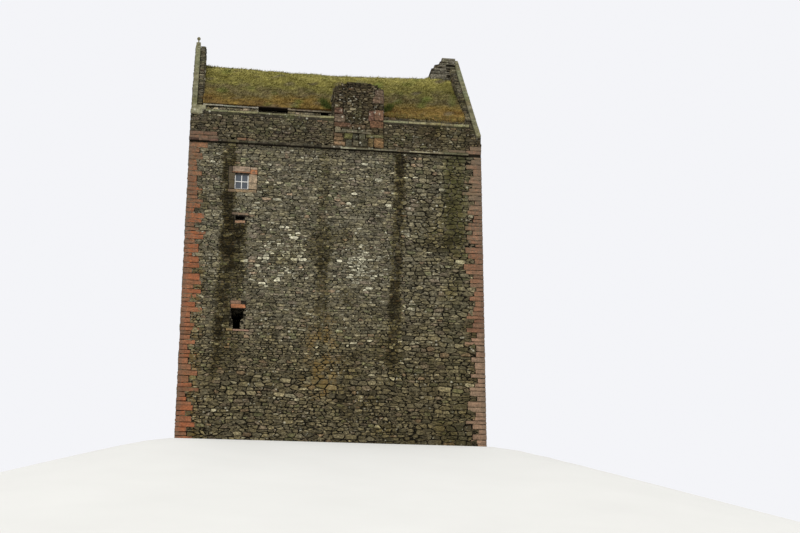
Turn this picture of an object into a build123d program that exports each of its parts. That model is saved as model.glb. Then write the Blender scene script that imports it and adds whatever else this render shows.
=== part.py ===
from build123d import *
import os

os.makedirs("parts", exist_ok=True)

# Plan of the tower. The long front faces -Y and the gables stand at the two ends of X.
length = 12100
depth = 9700
long_wall = 2000
end_wall = 1500
half_length = length / 2
half_depth = depth / 2
room_x = half_length - end_wall
room_y = half_depth - long_wall

# Levels, measured from the ground.
wall_top = 12300
cellar_floor_top = 150
vault_spring = 1500
vault_crown = 3450
hall_floor_top = 3900
chamber_floor_top = 8100
floor_depth = 300
board_thickness = 60

# String course, parapet and wall walk.
string_height = 130
string_projection = 90
string_stop = half_length - 550
walk_level = wall_top + string_height
parapet_thickness = 450
parapet_top = 13570
coping_height = 180
coping_lip = 20
drain_size = 120
drain_centres = (-half_length + 1730, -480)

# Garret walls and roof.
attic_wall_out = half_depth - 1150
attic_wall_in = attic_wall_out - 600
attic_wall_top = 14420
eaves_slab = 80
eaves_overhang = 80
eaves_top = attic_wall_top + eaves_slab
turf_edge = 100
turf_depth = 260
ridge = 18050
vault_peak = 16950
attic_door = (-3300, -1980)
attic_door_head = 14360

# Gables and their skews.
gable_thickness = 450
skew_width = 200
skew_height = 150
gable_foot = 13360
gable_apex = 19190
gable_inner = half_length - gable_thickness

# Chimney stacks.
stack_left = -150
stack_right = 1910
stack_front = half_depth + 50
stack_top = 15370

# Corner stones: depths of the courses from the ground up, and the lengths they take in turn.
quoin_depths = (300, 380, 240, 420, 330, 200, 360, 280, 450, 260, 310, 220, 400)
quoin_longs = (660, 820, 600, 740, 560)
quoin_shorts = (360, 420, 320)

# Small openings in the front, all in one line near the left corner.
window_left = -half_length + 1880
window_right = window_left + 560
window_sill = 10340
window_head = window_sill + 680
slit_left = -half_length + 1960
slit_right = slit_left + 390
slit_sill = 9020
slit_head = slit_sill + 150
loop_left = -half_length + 1920
loop_right = loop_left + 570
loop_sill = 4460
loop_head = loop_sill + 820
splay_left = -room_x + 100
splay_right = splay_left + 1400
reveal = 330
dressing_depth = 300


def embrasure(side, left, right, sill, head, inner_left, inner_right):
    """Shapes the hollow of an opening in a long wall: a straight outer reveal and a splay behind it."""
    with BuildPart() as body:
        with BuildSketch(Plane.XY.offset(sill)):
            with BuildLine():
                Polyline(
                    (left, side * half_depth),
                    (right, side * half_depth),
                    (right, side * (half_depth - reveal)),
                    (inner_right, side * room_y),
                    (inner_left, side * room_y),
                    (left, side * (half_depth - reveal)),
                    close=True,
                )
            make_face()
        extrude(amount=head - sill)
    return body.part


# The corner stones. Each lies long on one face and short on the other, and the next one is turned, so that
# the whole corner is toothed into the rubble beside it.
def corner_stones(x_side, y_side, shift):
    """Stacks the stones of one corner from the ground to the wall head."""
    with BuildPart() as body:
        level = 0
        course = 0
        while level < wall_top:
            rise = min(quoin_depths[(course - shift) % len(quoin_depths)], wall_top - level)
            turn = course + shift
            long_side = quoin_longs[turn % len(quoin_longs)]
            short_side = quoin_shorts[turn % len(quoin_shorts)]
            along_x, along_y = (long_side, short_side) if turn % 2 == 0 else (short_side, long_side)
            centre = (x_side * (half_length - along_x / 2), y_side * (half_depth - along_y / 2))
            with BuildSketch(Plane.XY.offset(level)):
                with Locations(centre):
                    Rectangle(along_x, along_y)
            extrude(amount=rise)
            level += rise
            course += 1
    return body.part


with BuildPart() as front_left_quoins:
    add(corner_stones(-1, -1, 0))

with BuildPart() as front_right_quoins:
    add(corner_stones(1, -1, 3))

with BuildPart() as back_left_quoins:
    add(corner_stones(-1, 1, 5))

with BuildPart() as back_right_quoins:
    add(corner_stones(1, 1, 8))

# Window: a dressed stone surround, a small sash of four panes and its glass.
jamb_left = 250
jamb_right = 350
lintel_height = 280
sill_height = 130
surround_left = window_left - jamb_left
surround_right = window_right + jamb_right
surround_bottom = window_sill - sill_height
surround_top = window_head + lintel_height
window_width = window_right - window_left
window_height = window_head - window_sill
window_x = (window_left + window_right) / 2
window_z = (window_sill + window_head) / 2
sash_setback = 70
sash_thickness = 60
sash_bar = 40
glazing_bar = 30
glass_thickness = 8


def surround_block(x, z, side):
    """Makes the ring of dressed stones round a window centred on x and z."""
    shift = (jamb_right - jamb_left) / 2
    with BuildPart() as body:
        with BuildSketch(Plane.XZ.offset(-side * half_depth)):
            with Locations((x + shift, z + (lintel_height - sill_height) / 2)):
                Rectangle(
                    window_width + jamb_left + jamb_right,
                    window_height + lintel_height + sill_height,
                )
            with Locations((x, z)):
                Rectangle(window_width, window_height, mode=Mode.SUBTRACT)
        extrude(amount=side * dressing_depth)
    return body.part


def sash(x, z, side):
    """Makes a sash of four panes, set back from the wall face."""
    setback = half_depth - sash_setback
    with BuildPart() as body:
        with BuildSketch(Plane.XZ.offset(-side * setback)):
            with Locations((x, z)):
                Rectangle(window_width, window_height)
                Rectangle(window_width - 2 * sash_bar, window_height - 2 * sash_bar, mode=Mode.SUBTRACT)
                Rectangle(window_width, glazing_bar)
                Rectangle(glazing_bar, window_height)
        extrude(amount=side * sash_thickness)
    return body.part


def panes(x, z, side):
    """Fills the four lights of a sash with glass."""
    pane_width = (window_width - 2 * sash_bar - glazing_bar) / 2
    pane_height = (window_height - 2 * sash_bar - glazing_bar) / 2
    middle = half_depth - sash_setback - (sash_thickness - glass_thickness) / 2
    with BuildPart() as body:
        with BuildSketch(Plane.XZ.offset(-side * middle)):
            with Locations((x, z)):
                with GridLocations(pane_width + glazing_bar, pane_height + glazing_bar, 2, 2):
                    Rectangle(pane_width, pane_height)
        extrude(amount=side * glass_thickness)
    return body.part


with BuildPart() as front_window_surround:
    add(surround_block(window_x, window_z, -1))

with BuildPart() as front_window_sash:
    add(sash(window_x, window_z, -1))

with BuildPart() as front_window_glass:
    add(panes(window_x, window_z, -1))

# The back repeats the window at the two upper floors.
back_window_x = 2600
back_windows = ((back_window_x, hall_floor_top + 2100), (-back_window_x, window_z))

with BuildPart() as back_window_surrounds:
    for x, z in back_windows:
        add(surround_block(x, z, 1))

with BuildPart() as back_window_sashes:
    for x, z in back_windows:
        add(sash(x, z, 1))

with BuildPart() as back_window_glass:
    for x, z in back_windows:
        add(panes(x, z, 1))

# Dressed stones of the small slit and of the broken loop below it.
slit_lintel = 140
slit_lintel_bearing = 145
slit_sill_stone = 150
slit_sill_bearing = 55
loop_lintel = 340
loop_lintel_bearing = 30
loop_sill_stone = 120
loop_sill_bearing = 165


def lintel_and_sill(left, right, sill, head, above, head_bearing, below, sill_bearing):
    """Makes one stone over an opening in the front and one under it."""
    middle = (left + right) / 2
    with BuildPart() as body:
        with BuildSketch(Plane.XZ.offset(half_depth)):
            with Locations((middle, head + above / 2)):
                Rectangle(right - left + 2 * head_bearing, above)
            with Locations((middle, sill - below / 2)):
                Rectangle(right - left + 2 * sill_bearing, below)
        extrude(amount=-dressing_depth)
    return body.part


with BuildPart() as front_slit_dressing:
    add(
        lintel_and_sill(
            slit_left,
            slit_right,
            slit_sill,
            slit_head,
            slit_lintel,
            slit_lintel_bearing,
            slit_sill_stone,
            slit_sill_bearing,
        )
    )

with BuildPart() as front_loop_dressing:
    add(
        lintel_and_sill(
            loop_left,
            loop_right,
            loop_sill,
            loop_head,
            loop_lintel,
            loop_lintel_bearing,
            loop_sill_stone,
            loop_sill_bearing,
        )
    )

# Doorway at the back: a round-headed surround and a closed leaf of planks.
door_x = -2000
door_width = 1100
door_spring = 1650
door_radius = door_width / 2
door_surround = 300
door_setback = 250
door_thickness = 90

with BuildPart() as back_door_surround:
    with BuildSketch(Plane.XZ.offset(-half_depth)):
        with BuildLine():
            Polyline(
                (door_x + door_radius, door_spring),
                (door_x + door_radius, 0),
                (door_x + door_radius + door_surround, 0),
                (door_x + door_radius + door_surround, door_spring),
            )
            RadiusArc(
                (door_x + door_radius + door_surround, door_spring),
                (door_x - door_radius - door_surround, door_spring),
                -(door_radius + door_surround),
            )
            Polyline(
                (door_x - door_radius - door_surround, door_spring),
                (door_x - door_radius - door_surround, 0),
                (door_x - door_radius, 0),
                (door_x - door_radius, door_spring),
            )
            RadiusArc(
                (door_x - door_radius, door_spring),
                (door_x + door_radius, door_spring),
                door_radius,
            )
        make_face()
    extrude(amount=dressing_depth + door_setback)

with BuildPart() as back_door_leaf:
    with BuildSketch(Plane.XZ.offset(-(half_depth - door_setback))):
        with Locations((door_x, door_spring / 2)):
            Rectangle(door_width, door_spring)
        with Locations((door_x, door_spring)):
            Circle(door_radius)
    extrude(amount=door_thickness)

# Slits in the end walls, one to each floor, with a dressed frame.
end_slit_width = 140
end_slit_height = 600
end_slit_sills = (vault_spring + 700, hall_floor_top + 1300, chamber_floor_top + 1200)
end_frame = 180
end_splay = 900


def end_slit_frames(side):
    """Makes the three dressed frames of an end wall."""
    with BuildPart() as body:
        with BuildSketch(Plane.YZ.offset(side * half_length)):
            for sill in end_slit_sills:
                with Locations((0, sill + end_slit_height / 2)):
                    Rectangle(end_slit_width + 2 * end_frame, end_slit_height + 2 * end_frame)
                    Rectangle(end_slit_width, end_slit_height, mode=Mode.SUBTRACT)
        extrude(amount=-side * dressing_depth)
    return body.part


with BuildPart() as left_slit_frames:
    add(end_slit_frames(-1))

with BuildPart() as right_slit_frames:
    add(end_slit_frames(1))

# Outline of the broken loop, in shares of its width and height from its lower left corner. Stones have
# fallen from its upper right side.
loop_outline = (
    (0.18, 0.0),
    (0.67, 0.0),
    (0.68, 0.41),
    (0.89, 0.54),
    (0.88, 0.84),
    (1.0, 1.0),
    (0.0, 1.0),
    (0.04, 0.78),
    (0.05, 0.54),
    (0.19, 0.35),
)

# The long front wall, with the window, the slit and the broken loop through it.
with BuildPart() as front_wall:
    with BuildSketch(Plane.XY):
        with Locations((0, -(half_depth - long_wall / 2))):
            Rectangle(length, long_wall)
    extrude(amount=wall_top)
    window_hollow = embrasure(
        -1, window_left, window_right, window_sill, window_head, splay_left, splay_right
    )
    add(window_hollow, mode=Mode.SUBTRACT)
    slit_hollow = embrasure(-1, slit_left, slit_right, slit_sill, slit_head, splay_left, splay_right)
    add(slit_hollow, mode=Mode.SUBTRACT)
    with BuildSketch(Plane.XY.offset(loop_sill)):
        with BuildLine():
            Polyline(
                (loop_left, -half_depth + reveal),
                (loop_right, -half_depth + reveal),
                (splay_right, -room_y),
                (splay_left, -room_y),
                close=True,
            )
        make_face()
    extrude(amount=loop_head - loop_sill, mode=Mode.SUBTRACT)
    loop_width = loop_right - loop_left
    loop_height = loop_head - loop_sill
    outline = [(loop_left + u * loop_width, loop_sill + v * loop_height) for u, v in loop_outline]
    with BuildSketch(Plane.XZ.offset(half_depth)):
        with BuildLine():
            Polyline(*outline, close=True)
        make_face()
    extrude(amount=-reveal, mode=Mode.SUBTRACT)
    add(front_left_quoins.part, mode=Mode.SUBTRACT)
    add(front_right_quoins.part, mode=Mode.SUBTRACT)
    add(front_slit_dressing.part, mode=Mode.SUBTRACT)
    add(front_loop_dressing.part, mode=Mode.SUBTRACT)
    add(front_window_surround.part, mode=Mode.SUBTRACT)

# The back wall, with the doorway and two windows.
back_splay = 700

with BuildPart() as back_wall:
    with BuildSketch(Plane.XY):
        with Locations((0, half_depth - long_wall / 2)):
            Rectangle(length, long_wall)
    extrude(amount=wall_top)
    for x, z in back_windows:
        left = x - window_width / 2
        right = x + window_width / 2
        sill = z - window_height / 2
        head = z + window_height / 2
        add(embrasure(1, left, right, sill, head, x - back_splay, x + back_splay), mode=Mode.SUBTRACT)
    with BuildSketch(Plane.XZ.offset(-half_depth)):
        with Locations((door_x, door_spring / 2)):
            Rectangle(door_width, door_spring)
        with Locations((door_x, door_spring)):
            Circle(door_radius)
    extrude(amount=long_wall, mode=Mode.SUBTRACT)
    add(back_left_quoins.part, mode=Mode.SUBTRACT)
    add(back_right_quoins.part, mode=Mode.SUBTRACT)
    add(back_window_surrounds.part, mode=Mode.SUBTRACT)
    add(back_door_surround.part, mode=Mode.SUBTRACT)


def end_wall_body(side):
    """Raises an end wall between the long walls and cuts its three slits."""
    with BuildPart() as body:
        with BuildSketch(Plane.XY):
            with Locations((side * (half_length - end_wall / 2), 0)):
                Rectangle(end_wall, 2 * room_y)
        extrude(amount=wall_top)
        for sill in end_slit_sills:
            with BuildSketch(Plane.XY.offset(sill)):
                with BuildLine():
                    Polyline(
                        (side * half_length, -end_slit_width / 2),
                        (side * (half_length - dressing_depth), -end_slit_width / 2),
                        (side * room_x, -end_splay / 2),
                        (side * room_x, end_splay / 2),
                        (side * (half_length - dressing_depth), end_slit_width / 2),
                        (side * half_length, end_slit_width / 2),
                        close=True,
                    )
                make_face()
            extrude(amount=end_slit_height, mode=Mode.SUBTRACT)
    return body.part


with BuildPart() as left_wall:
    add(end_wall_body(-1))
    add(left_slit_frames.part, mode=Mode.SUBTRACT)

with BuildPart() as right_wall:
    add(end_wall_body(1))
    add(right_slit_frames.part, mode=Mode.SUBTRACT)

# Floors: stone flags below, a barrel vault under the hall, timber floors above.
with BuildPart() as cellar_floor:
    with BuildSketch(Plane.XY):
        Rectangle(2 * room_x, 2 * room_y)
    extrude(amount=cellar_floor_top)

with BuildPart() as cellar_vault:
    with BuildSketch(Plane.YZ.offset(-room_x)):
        with BuildLine():
            ThreePointArc((-room_y, vault_spring), (0, vault_crown), (room_y, vault_spring))
            Polyline(
                (room_y, vault_spring),
                (room_y, hall_floor_top),
                (-room_y, hall_floor_top),
                (-room_y, vault_spring),
            )
        make_face()
    extrude(amount=2 * room_x)

beam_width = 220
beam_count = 7


def timber_floor(top):
    """Lays boards over beams that run from the front wall to the back wall."""
    with BuildPart() as body:
        with BuildSketch(Plane.XY.offset(top - board_thickness)):
            Rectangle(2 * room_x, 2 * room_y)
        extrude(amount=board_thickness)
        with BuildSketch(Plane.XY.offset(top - floor_depth)):
            with GridLocations(2 * room_x / beam_count, 0, beam_count, 1):
                Rectangle(beam_width, 2 * room_y)
        extrude(amount=floor_depth - board_thickness)
    return body.part


with BuildPart() as chamber_floor:
    add(timber_floor(chamber_floor_top))

with BuildPart() as attic_floor:
    add(timber_floor(wall_top))

# The chimney stack that stands in the middle of the front parapet.
stack_width = stack_right - stack_left
stack_x = (stack_left + stack_right) / 2
worn_corner = 350
worn_shoulder = 90
worn_edge = 290

with BuildPart() as centre_stack:
    with BuildSketch(Plane.XZ.offset(stack_front)):
        with BuildLine():
            Polyline(
                (stack_left, walk_level),
                (stack_right, walk_level),
                (stack_right, stack_top - worn_edge),
                (stack_right - worn_corner, stack_top - worn_shoulder),
                (stack_right - 2 * worn_corner, stack_top),
                (stack_left + 2 * worn_corner, stack_top),
                (stack_left + worn_corner, stack_top - worn_shoulder),
                (stack_left, stack_top - worn_edge),
                close=True,
            )
        make_face()
    extrude(amount=-(stack_front - attic_wall_out))

# String course under each parapet. The front one stops short of the right corner.
string_inner = half_depth - parapet_thickness

with BuildPart() as front_string_course:
    with BuildSketch(Plane.XY.offset(wall_top)):
        with BuildLine():
            Polyline(
                (-half_length, -string_inner),
                (-half_length, -half_depth - string_projection),
                (string_stop, -half_depth - string_projection),
                (string_stop, -half_depth),
                (half_length, -half_depth),
                (half_length, -string_inner),
                close=True,
            )
        make_face()
    extrude(amount=string_height)

with BuildPart() as back_string_course:
    with BuildSketch(Plane.XY.offset(wall_top)):
        with Locations((0, (string_inner + half_depth + string_projection) / 2)):
            Rectangle(length, half_depth + string_projection - string_inner)
    extrude(amount=string_height)

parapet_middle = half_depth - parapet_thickness / 2

# Corner block at the foot of the left skew, above the coping.
block_length = 580
block_right = -half_length + block_length
block_top = parapet_top + 380
block_bottom = parapet_top

with BuildPart() as left_skewputt:
    with BuildSketch(Plane.XY.offset(block_bottom)):
        with Locations(((-half_length + block_right) / 2, -parapet_middle)):
            Rectangle(block_right + half_length, parapet_thickness)
    extrude(amount=block_top - block_bottom)

# Parapets, pierced by small drains, with flat coping stones.
with BuildPart() as front_parapet:
    with BuildSketch(Plane.XY.offset(walk_level)):
        with Locations((0, -parapet_middle)):
            Rectangle(2 * gable_inner, parapet_thickness)
        with Locations((stack_x, -parapet_middle)):
            Rectangle(stack_width, parapet_thickness, mode=Mode.SUBTRACT)
    extrude(amount=parapet_top - walk_level)
    with BuildSketch(Plane.XZ.offset(half_depth)):
        for x in drain_centres:
            with Locations((x, walk_level + drain_size / 2)):
                Rectangle(drain_size, drain_size)
    extrude(amount=-parapet_thickness, mode=Mode.SUBTRACT)
    add(left_skewputt.part, mode=Mode.SUBTRACT)

with BuildPart() as back_parapet:
    with BuildSketch(Plane.XY.offset(walk_level)):
        with Locations((0, parapet_middle)):
            Rectangle(2 * gable_inner, parapet_thickness)
    extrude(amount=parapet_top - walk_level)
    with BuildSketch(Plane.XZ.offset(-half_depth)):
        for x in drain_centres:
            with Locations((-x, walk_level + drain_size / 2)):
                Rectangle(drain_size, drain_size)
    extrude(amount=parapet_thickness, mode=Mode.SUBTRACT)

with BuildPart() as front_coping:
    with BuildSketch(Plane.XY.offset(parapet_top)):
        with Locations((0, -parapet_middle)):
            Rectangle(2 * gable_inner, parapet_thickness + 2 * coping_lip)
        with Locations((stack_x, -parapet_middle)):
            Rectangle(stack_width, 2 * parapet_thickness, mode=Mode.SUBTRACT)
    extrude(amount=coping_height)
    add(left_skewputt.part, mode=Mode.SUBTRACT)

with BuildPart() as back_coping:
    with BuildSketch(Plane.XY.offset(parapet_top)):
        with Locations((0, parapet_middle)):
            Rectangle(2 * gable_inner, parapet_thickness + 2 * coping_lip)
    extrude(amount=coping_height)

# Paved walks between the parapets and the garret walls.
walk_middle = (string_inner + attic_wall_out) / 2

with BuildPart() as front_wall_walk:
    with BuildSketch(Plane.XY.offset(wall_top)):
        with Locations((0, -walk_middle)):
            Rectangle(2 * gable_inner, string_inner - attic_wall_out)
    extrude(amount=string_height)

with BuildPart() as back_wall_walk:
    with BuildSketch(Plane.XY.offset(wall_top)):
        with Locations((0, walk_middle)):
            Rectangle(2 * gable_inner, string_inner - attic_wall_out)
    extrude(amount=string_height)

# Garret walls under the eaves. The front one has the door to the wall walk.
attic_wall_middle = (attic_wall_out + attic_wall_in) / 2

with BuildPart() as front_attic_wall:
    with BuildSketch(Plane.XY.offset(wall_top)):
        with Locations((0, -attic_wall_middle)):
            Rectangle(2 * gable_inner, attic_wall_out - attic_wall_in)
    extrude(amount=attic_wall_top - wall_top)
    with BuildSketch(Plane.XZ.offset(attic_wall_out)):
        with Locations((sum(attic_door) / 2, (walk_level + attic_door_head) / 2)):
            Rectangle(attic_door[1] - attic_door[0], attic_door_head - walk_level)
    extrude(amount=attic_wall_in - attic_wall_out, mode=Mode.SUBTRACT)

with BuildPart() as back_attic_wall:
    with BuildSketch(Plane.XY.offset(wall_top)):
        with Locations((0, attic_wall_middle)):
            Rectangle(2 * gable_inner, attic_wall_out - attic_wall_in)
    extrude(amount=attic_wall_top - wall_top)

# Thin slabs on the garret walls that carry the edge of the turf.
eaves_edge = attic_wall_out + eaves_overhang

with BuildPart() as front_eaves_slabs:
    with BuildSketch(Plane.XY.offset(attic_wall_top)):
        with Locations((0, -(eaves_edge + attic_wall_in) / 2)):
            Rectangle(2 * gable_inner, eaves_edge - attic_wall_in)
        with Locations((stack_x, -eaves_edge)):
            Rectangle(stack_width, 2 * eaves_overhang, mode=Mode.SUBTRACT)
    extrude(amount=eaves_slab)

with BuildPart() as back_eaves_slabs:
    with BuildSketch(Plane.XY.offset(attic_wall_top)):
        with Locations((0, (eaves_edge + attic_wall_in) / 2)):
            Rectangle(2 * gable_inner, eaves_edge - attic_wall_in)
    extrude(amount=eaves_slab)

# Broken stacks at the two ends of the ridge. The right one is a stepped ruin, the left one a last strip.
skew_inner = half_length - skew_width
stub_half = 450
stub_foot = ridge - 650
right_stub_length = 1160
right_stub_top = 19060
right_stub_rise = right_stub_top - ridge
left_stub_top = ridge + 710
stub_outline = (
    (0.0, 0.10),
    (0.03, 0.43),
    (0.12, 0.46),
    (0.16, 0.62),
    (0.33, 0.67),
    (0.37, 0.80),
    (0.44, 0.83),
    (0.47, 1.0),
)

with BuildPart() as right_ridge_stack:
    corner = skew_inner - right_stub_length
    steps = [(corner + u * right_stub_length, ridge + v * right_stub_rise) for u, v in stub_outline]
    with BuildSketch(Plane.XZ.offset(stub_half)):
        with BuildLine():
            Polyline(
                (corner, stub_foot),
                *steps,
                (skew_inner, right_stub_top),
                (skew_inner, stub_foot),
                close=True,
            )
        make_face()
    extrude(amount=-2 * stub_half)

with BuildPart() as left_ridge_stack:
    with BuildSketch(Plane.XZ.offset(stub_half)):
        with Locations((-(skew_inner + gable_inner) / 2, (stub_foot + left_stub_top) / 2)):
            Rectangle(skew_inner - gable_inner, left_stub_top - stub_foot)
    extrude(amount=-2 * stub_half)

# Roof: a pointed stone vault over the garret, with turf laid on its back.
turf_slope = (ridge - eaves_top - turf_edge) / eaves_edge
turf_inner = eaves_edge - (turf_depth - turf_edge) / turf_slope

with BuildPart() as turf_roof:
    with BuildSketch(Plane.YZ.offset(-gable_inner)):
        with BuildLine():
            Polyline(
                (-eaves_edge, eaves_top),
                (-eaves_edge, eaves_top + turf_edge),
                (0, ridge),
                (eaves_edge, eaves_top + turf_edge),
                (eaves_edge, eaves_top),
                (turf_inner, eaves_top),
                (0, ridge - turf_depth),
                (-turf_inner, eaves_top),
                close=True,
            )
        make_face()
    extrude(amount=2 * gable_inner)
    add(centre_stack.part, mode=Mode.SUBTRACT)
    add(right_ridge_stack.part, mode=Mode.SUBTRACT)

haunch_y = 0.54 * attic_wall_in
haunch_z = eaves_top + 0.56 * (vault_peak - eaves_top)

with BuildPart() as roof_vault:
    with BuildSketch(Plane.YZ.offset(-gable_inner)):
        with BuildLine():
            Polyline(
                (-attic_wall_in, eaves_top),
                (-turf_inner, eaves_top),
                (0, ridge - turf_depth),
                (turf_inner, eaves_top),
                (attic_wall_in, eaves_top),
            )
            ThreePointArc((attic_wall_in, eaves_top), (haunch_y, haunch_z), (0, vault_peak))
            ThreePointArc((0, vault_peak), (-haunch_y, haunch_z), (-attic_wall_in, eaves_top))
        make_face()
    extrude(amount=2 * gable_inner)
    add(right_ridge_stack.part, mode=Mode.SUBTRACT)

# Ball finial on the apex of the left gable.
finial_x = -(half_length - skew_width / 2)
finial_base = gable_apex - 190
finial_die = 210
finial_neck = finial_base + finial_die
stem_radius = 28
stem_height = 150
finial_radius = 80

ball_centre = finial_neck + stem_height + (finial_radius**2 - stem_radius**2) ** 0.5

with BuildPart() as left_finial:
    with BuildSketch(Plane.XY.offset(finial_base)):
        with Locations((finial_x, 0)):
            Rectangle(skew_width, skew_width)
    extrude(amount=finial_die)
    with BuildSketch(Plane.XZ):
        with BuildLine():
            Polyline(
                (finial_x, finial_neck),
                (finial_x + 2 * stem_radius, finial_neck),
                (finial_x + stem_radius, finial_neck + stem_radius),
                (finial_x + stem_radius, finial_neck + stem_height),
            )
            ball_low = (finial_x + stem_radius, finial_neck + stem_height)
            ball_top = (finial_x, ball_centre + finial_radius)
            ThreePointArc(ball_low, (finial_x + finial_radius, ball_centre), ball_top)
            Line(ball_top, (finial_x, finial_neck))
        make_face()
    revolve(axis=Axis((finial_x, 0, 0), (0, 0, 1)))

# Gable walls and the smooth skew stones that cap their outer edge.
gable_rise = (gable_apex - gable_foot) / half_depth


def gable_body(side):
    """Raises one gable, which also closes the ends of both parapets."""
    with BuildPart() as body:
        with BuildSketch(Plane.YZ.offset(side * half_length)):
            with BuildLine():
                Polyline(
                    (-string_inner, wall_top),
                    (-string_inner, walk_level),
                    (-half_depth, walk_level),
                    (-half_depth, gable_foot - skew_height),
                    (0, gable_apex - skew_height),
                    (half_depth, gable_foot - skew_height),
                    (half_depth, walk_level),
                    (string_inner, walk_level),
                    (string_inner, wall_top),
                    close=True,
                )
            make_face()
        extrude(amount=-side * gable_thickness)
    return body.part


def skew_body(side):
    """Lays the skew stones along both slopes of a gable."""
    with BuildPart() as body:
        with BuildSketch(Plane.YZ.offset(side * half_length)):
            with BuildLine():
                Polyline(
                    (-half_depth, gable_foot - skew_height),
                    (-half_depth, gable_foot),
                    (0, gable_apex),
                    (half_depth, gable_foot),
                    (half_depth, gable_foot - skew_height),
                    (0, gable_apex - skew_height),
                    close=True,
                )
            make_face()
        extrude(amount=-side * skew_width)
    return body.part


with BuildPart() as left_gable:
    add(gable_body(-1))
    with BuildSketch(Plane.XY.offset(gable_foot - skew_height)):
        with Locations((-half_length + gable_thickness / 2, -parapet_middle)):
            Rectangle(gable_thickness, parapet_thickness)
    extrude(amount=block_bottom - gable_foot + skew_height)
    with BuildSketch(Plane.XY.offset(stub_foot)):
        with Locations((-(skew_inner + gable_inner) / 2, 0)):
            Rectangle(skew_inner - gable_inner, 2 * stub_half)
    extrude(amount=gable_apex - stub_foot, mode=Mode.SUBTRACT)
    add(left_finial.part, mode=Mode.SUBTRACT)
    add(left_skewputt.part, mode=Mode.SUBTRACT)

with BuildPart() as right_gable:
    add(gable_body(1))
    add(right_ridge_stack.part, mode=Mode.SUBTRACT)

with BuildPart() as left_gable_skew:
    add(skew_body(-1))
    with BuildSketch(Plane.XY.offset(gable_foot - skew_height)):
        with Locations((-half_length + gable_thickness / 2, -parapet_middle)):
            Rectangle(gable_thickness, parapet_thickness)
    extrude(amount=block_top - gable_foot + skew_height, mode=Mode.SUBTRACT)
    add(left_finial.part, mode=Mode.SUBTRACT)

with BuildPart() as right_gable_skew:
    add(skew_body(1))

pieces = {
    "front_wall": front_wall,
    "back_wall": back_wall,
    "left_wall": left_wall,
    "right_wall": right_wall,
    "front_left_quoins": front_left_quoins,
    "front_right_quoins": front_right_quoins,
    "back_left_quoins": back_left_quoins,
    "back_right_quoins": back_right_quoins,
    "front_window_surround": front_window_surround,
    "front_window_sash": front_window_sash,
    "front_window_glass": front_window_glass,
    "back_window_surrounds": back_window_surrounds,
    "back_window_sashes": back_window_sashes,
    "back_window_glass": back_window_glass,
    "front_slit_dressing": front_slit_dressing,
    "front_loop_dressing": front_loop_dressing,
    "back_door_surround": back_door_surround,
    "back_door_leaf": back_door_leaf,
    "left_slit_frames": left_slit_frames,
    "right_slit_frames": right_slit_frames,
    "cellar_floor": cellar_floor,
    "cellar_vault": cellar_vault,
    "chamber_floor": chamber_floor,
    "attic_floor": attic_floor,
    "centre_stack": centre_stack,
    "front_string_course": front_string_course,
    "back_string_course": back_string_course,
    "front_parapet": front_parapet,
    "back_parapet": back_parapet,
    "front_coping": front_coping,
    "back_coping": back_coping,
    "front_wall_walk": front_wall_walk,
    "back_wall_walk": back_wall_walk,
    "front_attic_wall": front_attic_wall,
    "back_attic_wall": back_attic_wall,
    "front_eaves_slabs": front_eaves_slabs,
    "back_eaves_slabs": back_eaves_slabs,
    "turf_roof": turf_roof,
    "roof_vault": roof_vault,
    "left_finial": left_finial,
    "left_skewputt": left_skewputt,
    "left_gable": left_gable,
    "right_gable": right_gable,
    "left_gable_skew": left_gable_skew,
    "right_gable_skew": right_gable_skew,
    "right_ridge_stack": right_ridge_stack,
    "left_ridge_stack": left_ridge_stack,
}

for name, piece in pieces.items():
    piece.part.label = name
    export_step(piece.part, f"parts/{name}.step")
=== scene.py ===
import math
import bpy
import numpy as np
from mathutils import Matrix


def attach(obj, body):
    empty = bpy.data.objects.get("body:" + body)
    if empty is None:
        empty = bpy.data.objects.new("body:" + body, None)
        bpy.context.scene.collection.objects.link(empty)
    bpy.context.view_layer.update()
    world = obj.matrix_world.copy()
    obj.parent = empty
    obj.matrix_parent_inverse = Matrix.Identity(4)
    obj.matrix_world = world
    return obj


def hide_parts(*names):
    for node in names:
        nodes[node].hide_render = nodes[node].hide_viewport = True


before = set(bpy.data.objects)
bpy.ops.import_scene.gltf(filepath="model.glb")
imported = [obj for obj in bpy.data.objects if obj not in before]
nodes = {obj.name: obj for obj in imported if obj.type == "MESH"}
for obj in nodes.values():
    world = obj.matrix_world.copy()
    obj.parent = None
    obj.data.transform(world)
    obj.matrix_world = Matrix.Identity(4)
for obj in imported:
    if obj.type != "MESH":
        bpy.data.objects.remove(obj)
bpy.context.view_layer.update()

# Camera, sky and ground. The picture was taken from below, about fifty metres off and a little left of the
# middle, under an even overcast. The ground falls away from the walls, so that it doesn't rise between
# camera and tower.
scene = bpy.context.scene
camera = bpy.data.objects.new("camera", bpy.data.cameras.new("camera"))
scene.collection.objects.link(camera)
camera.data.sensor_width = 36.0
camera.data.lens = 63.0
camera.data.clip_end = 400.0
camera.location = (-5.22, -58.23, -10.32)
camera.rotation_euler = (math.radians(90 + 18.12), 0.0, math.radians(-8.35))
scene.camera = camera
scene.view_settings.view_transform = "Standard"


def put(kind, sockets, tree=None, **settings):
    """Adds a node, sets its properties, then fills each named socket with a number, a colour or another
    node's output. Without a tree, the node goes where those outputs are."""
    tree = tree or next(x.id_data for x in sockets.values() if isinstance(x, bpy.types.NodeSocket))
    node = tree.nodes.new(kind)
    for key, value in settings.items():
        setattr(node, key, value)
    for key, value in sockets.items():
        if isinstance(value, bpy.types.NodeSocket):
            tree.links.new(value, node.inputs[key])
        elif node.inputs[key].type == "RGBA":
            node.inputs[key].default_value = (*value, 1.0)
        else:
            node.inputs[key].default_value = value
    return node


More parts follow.
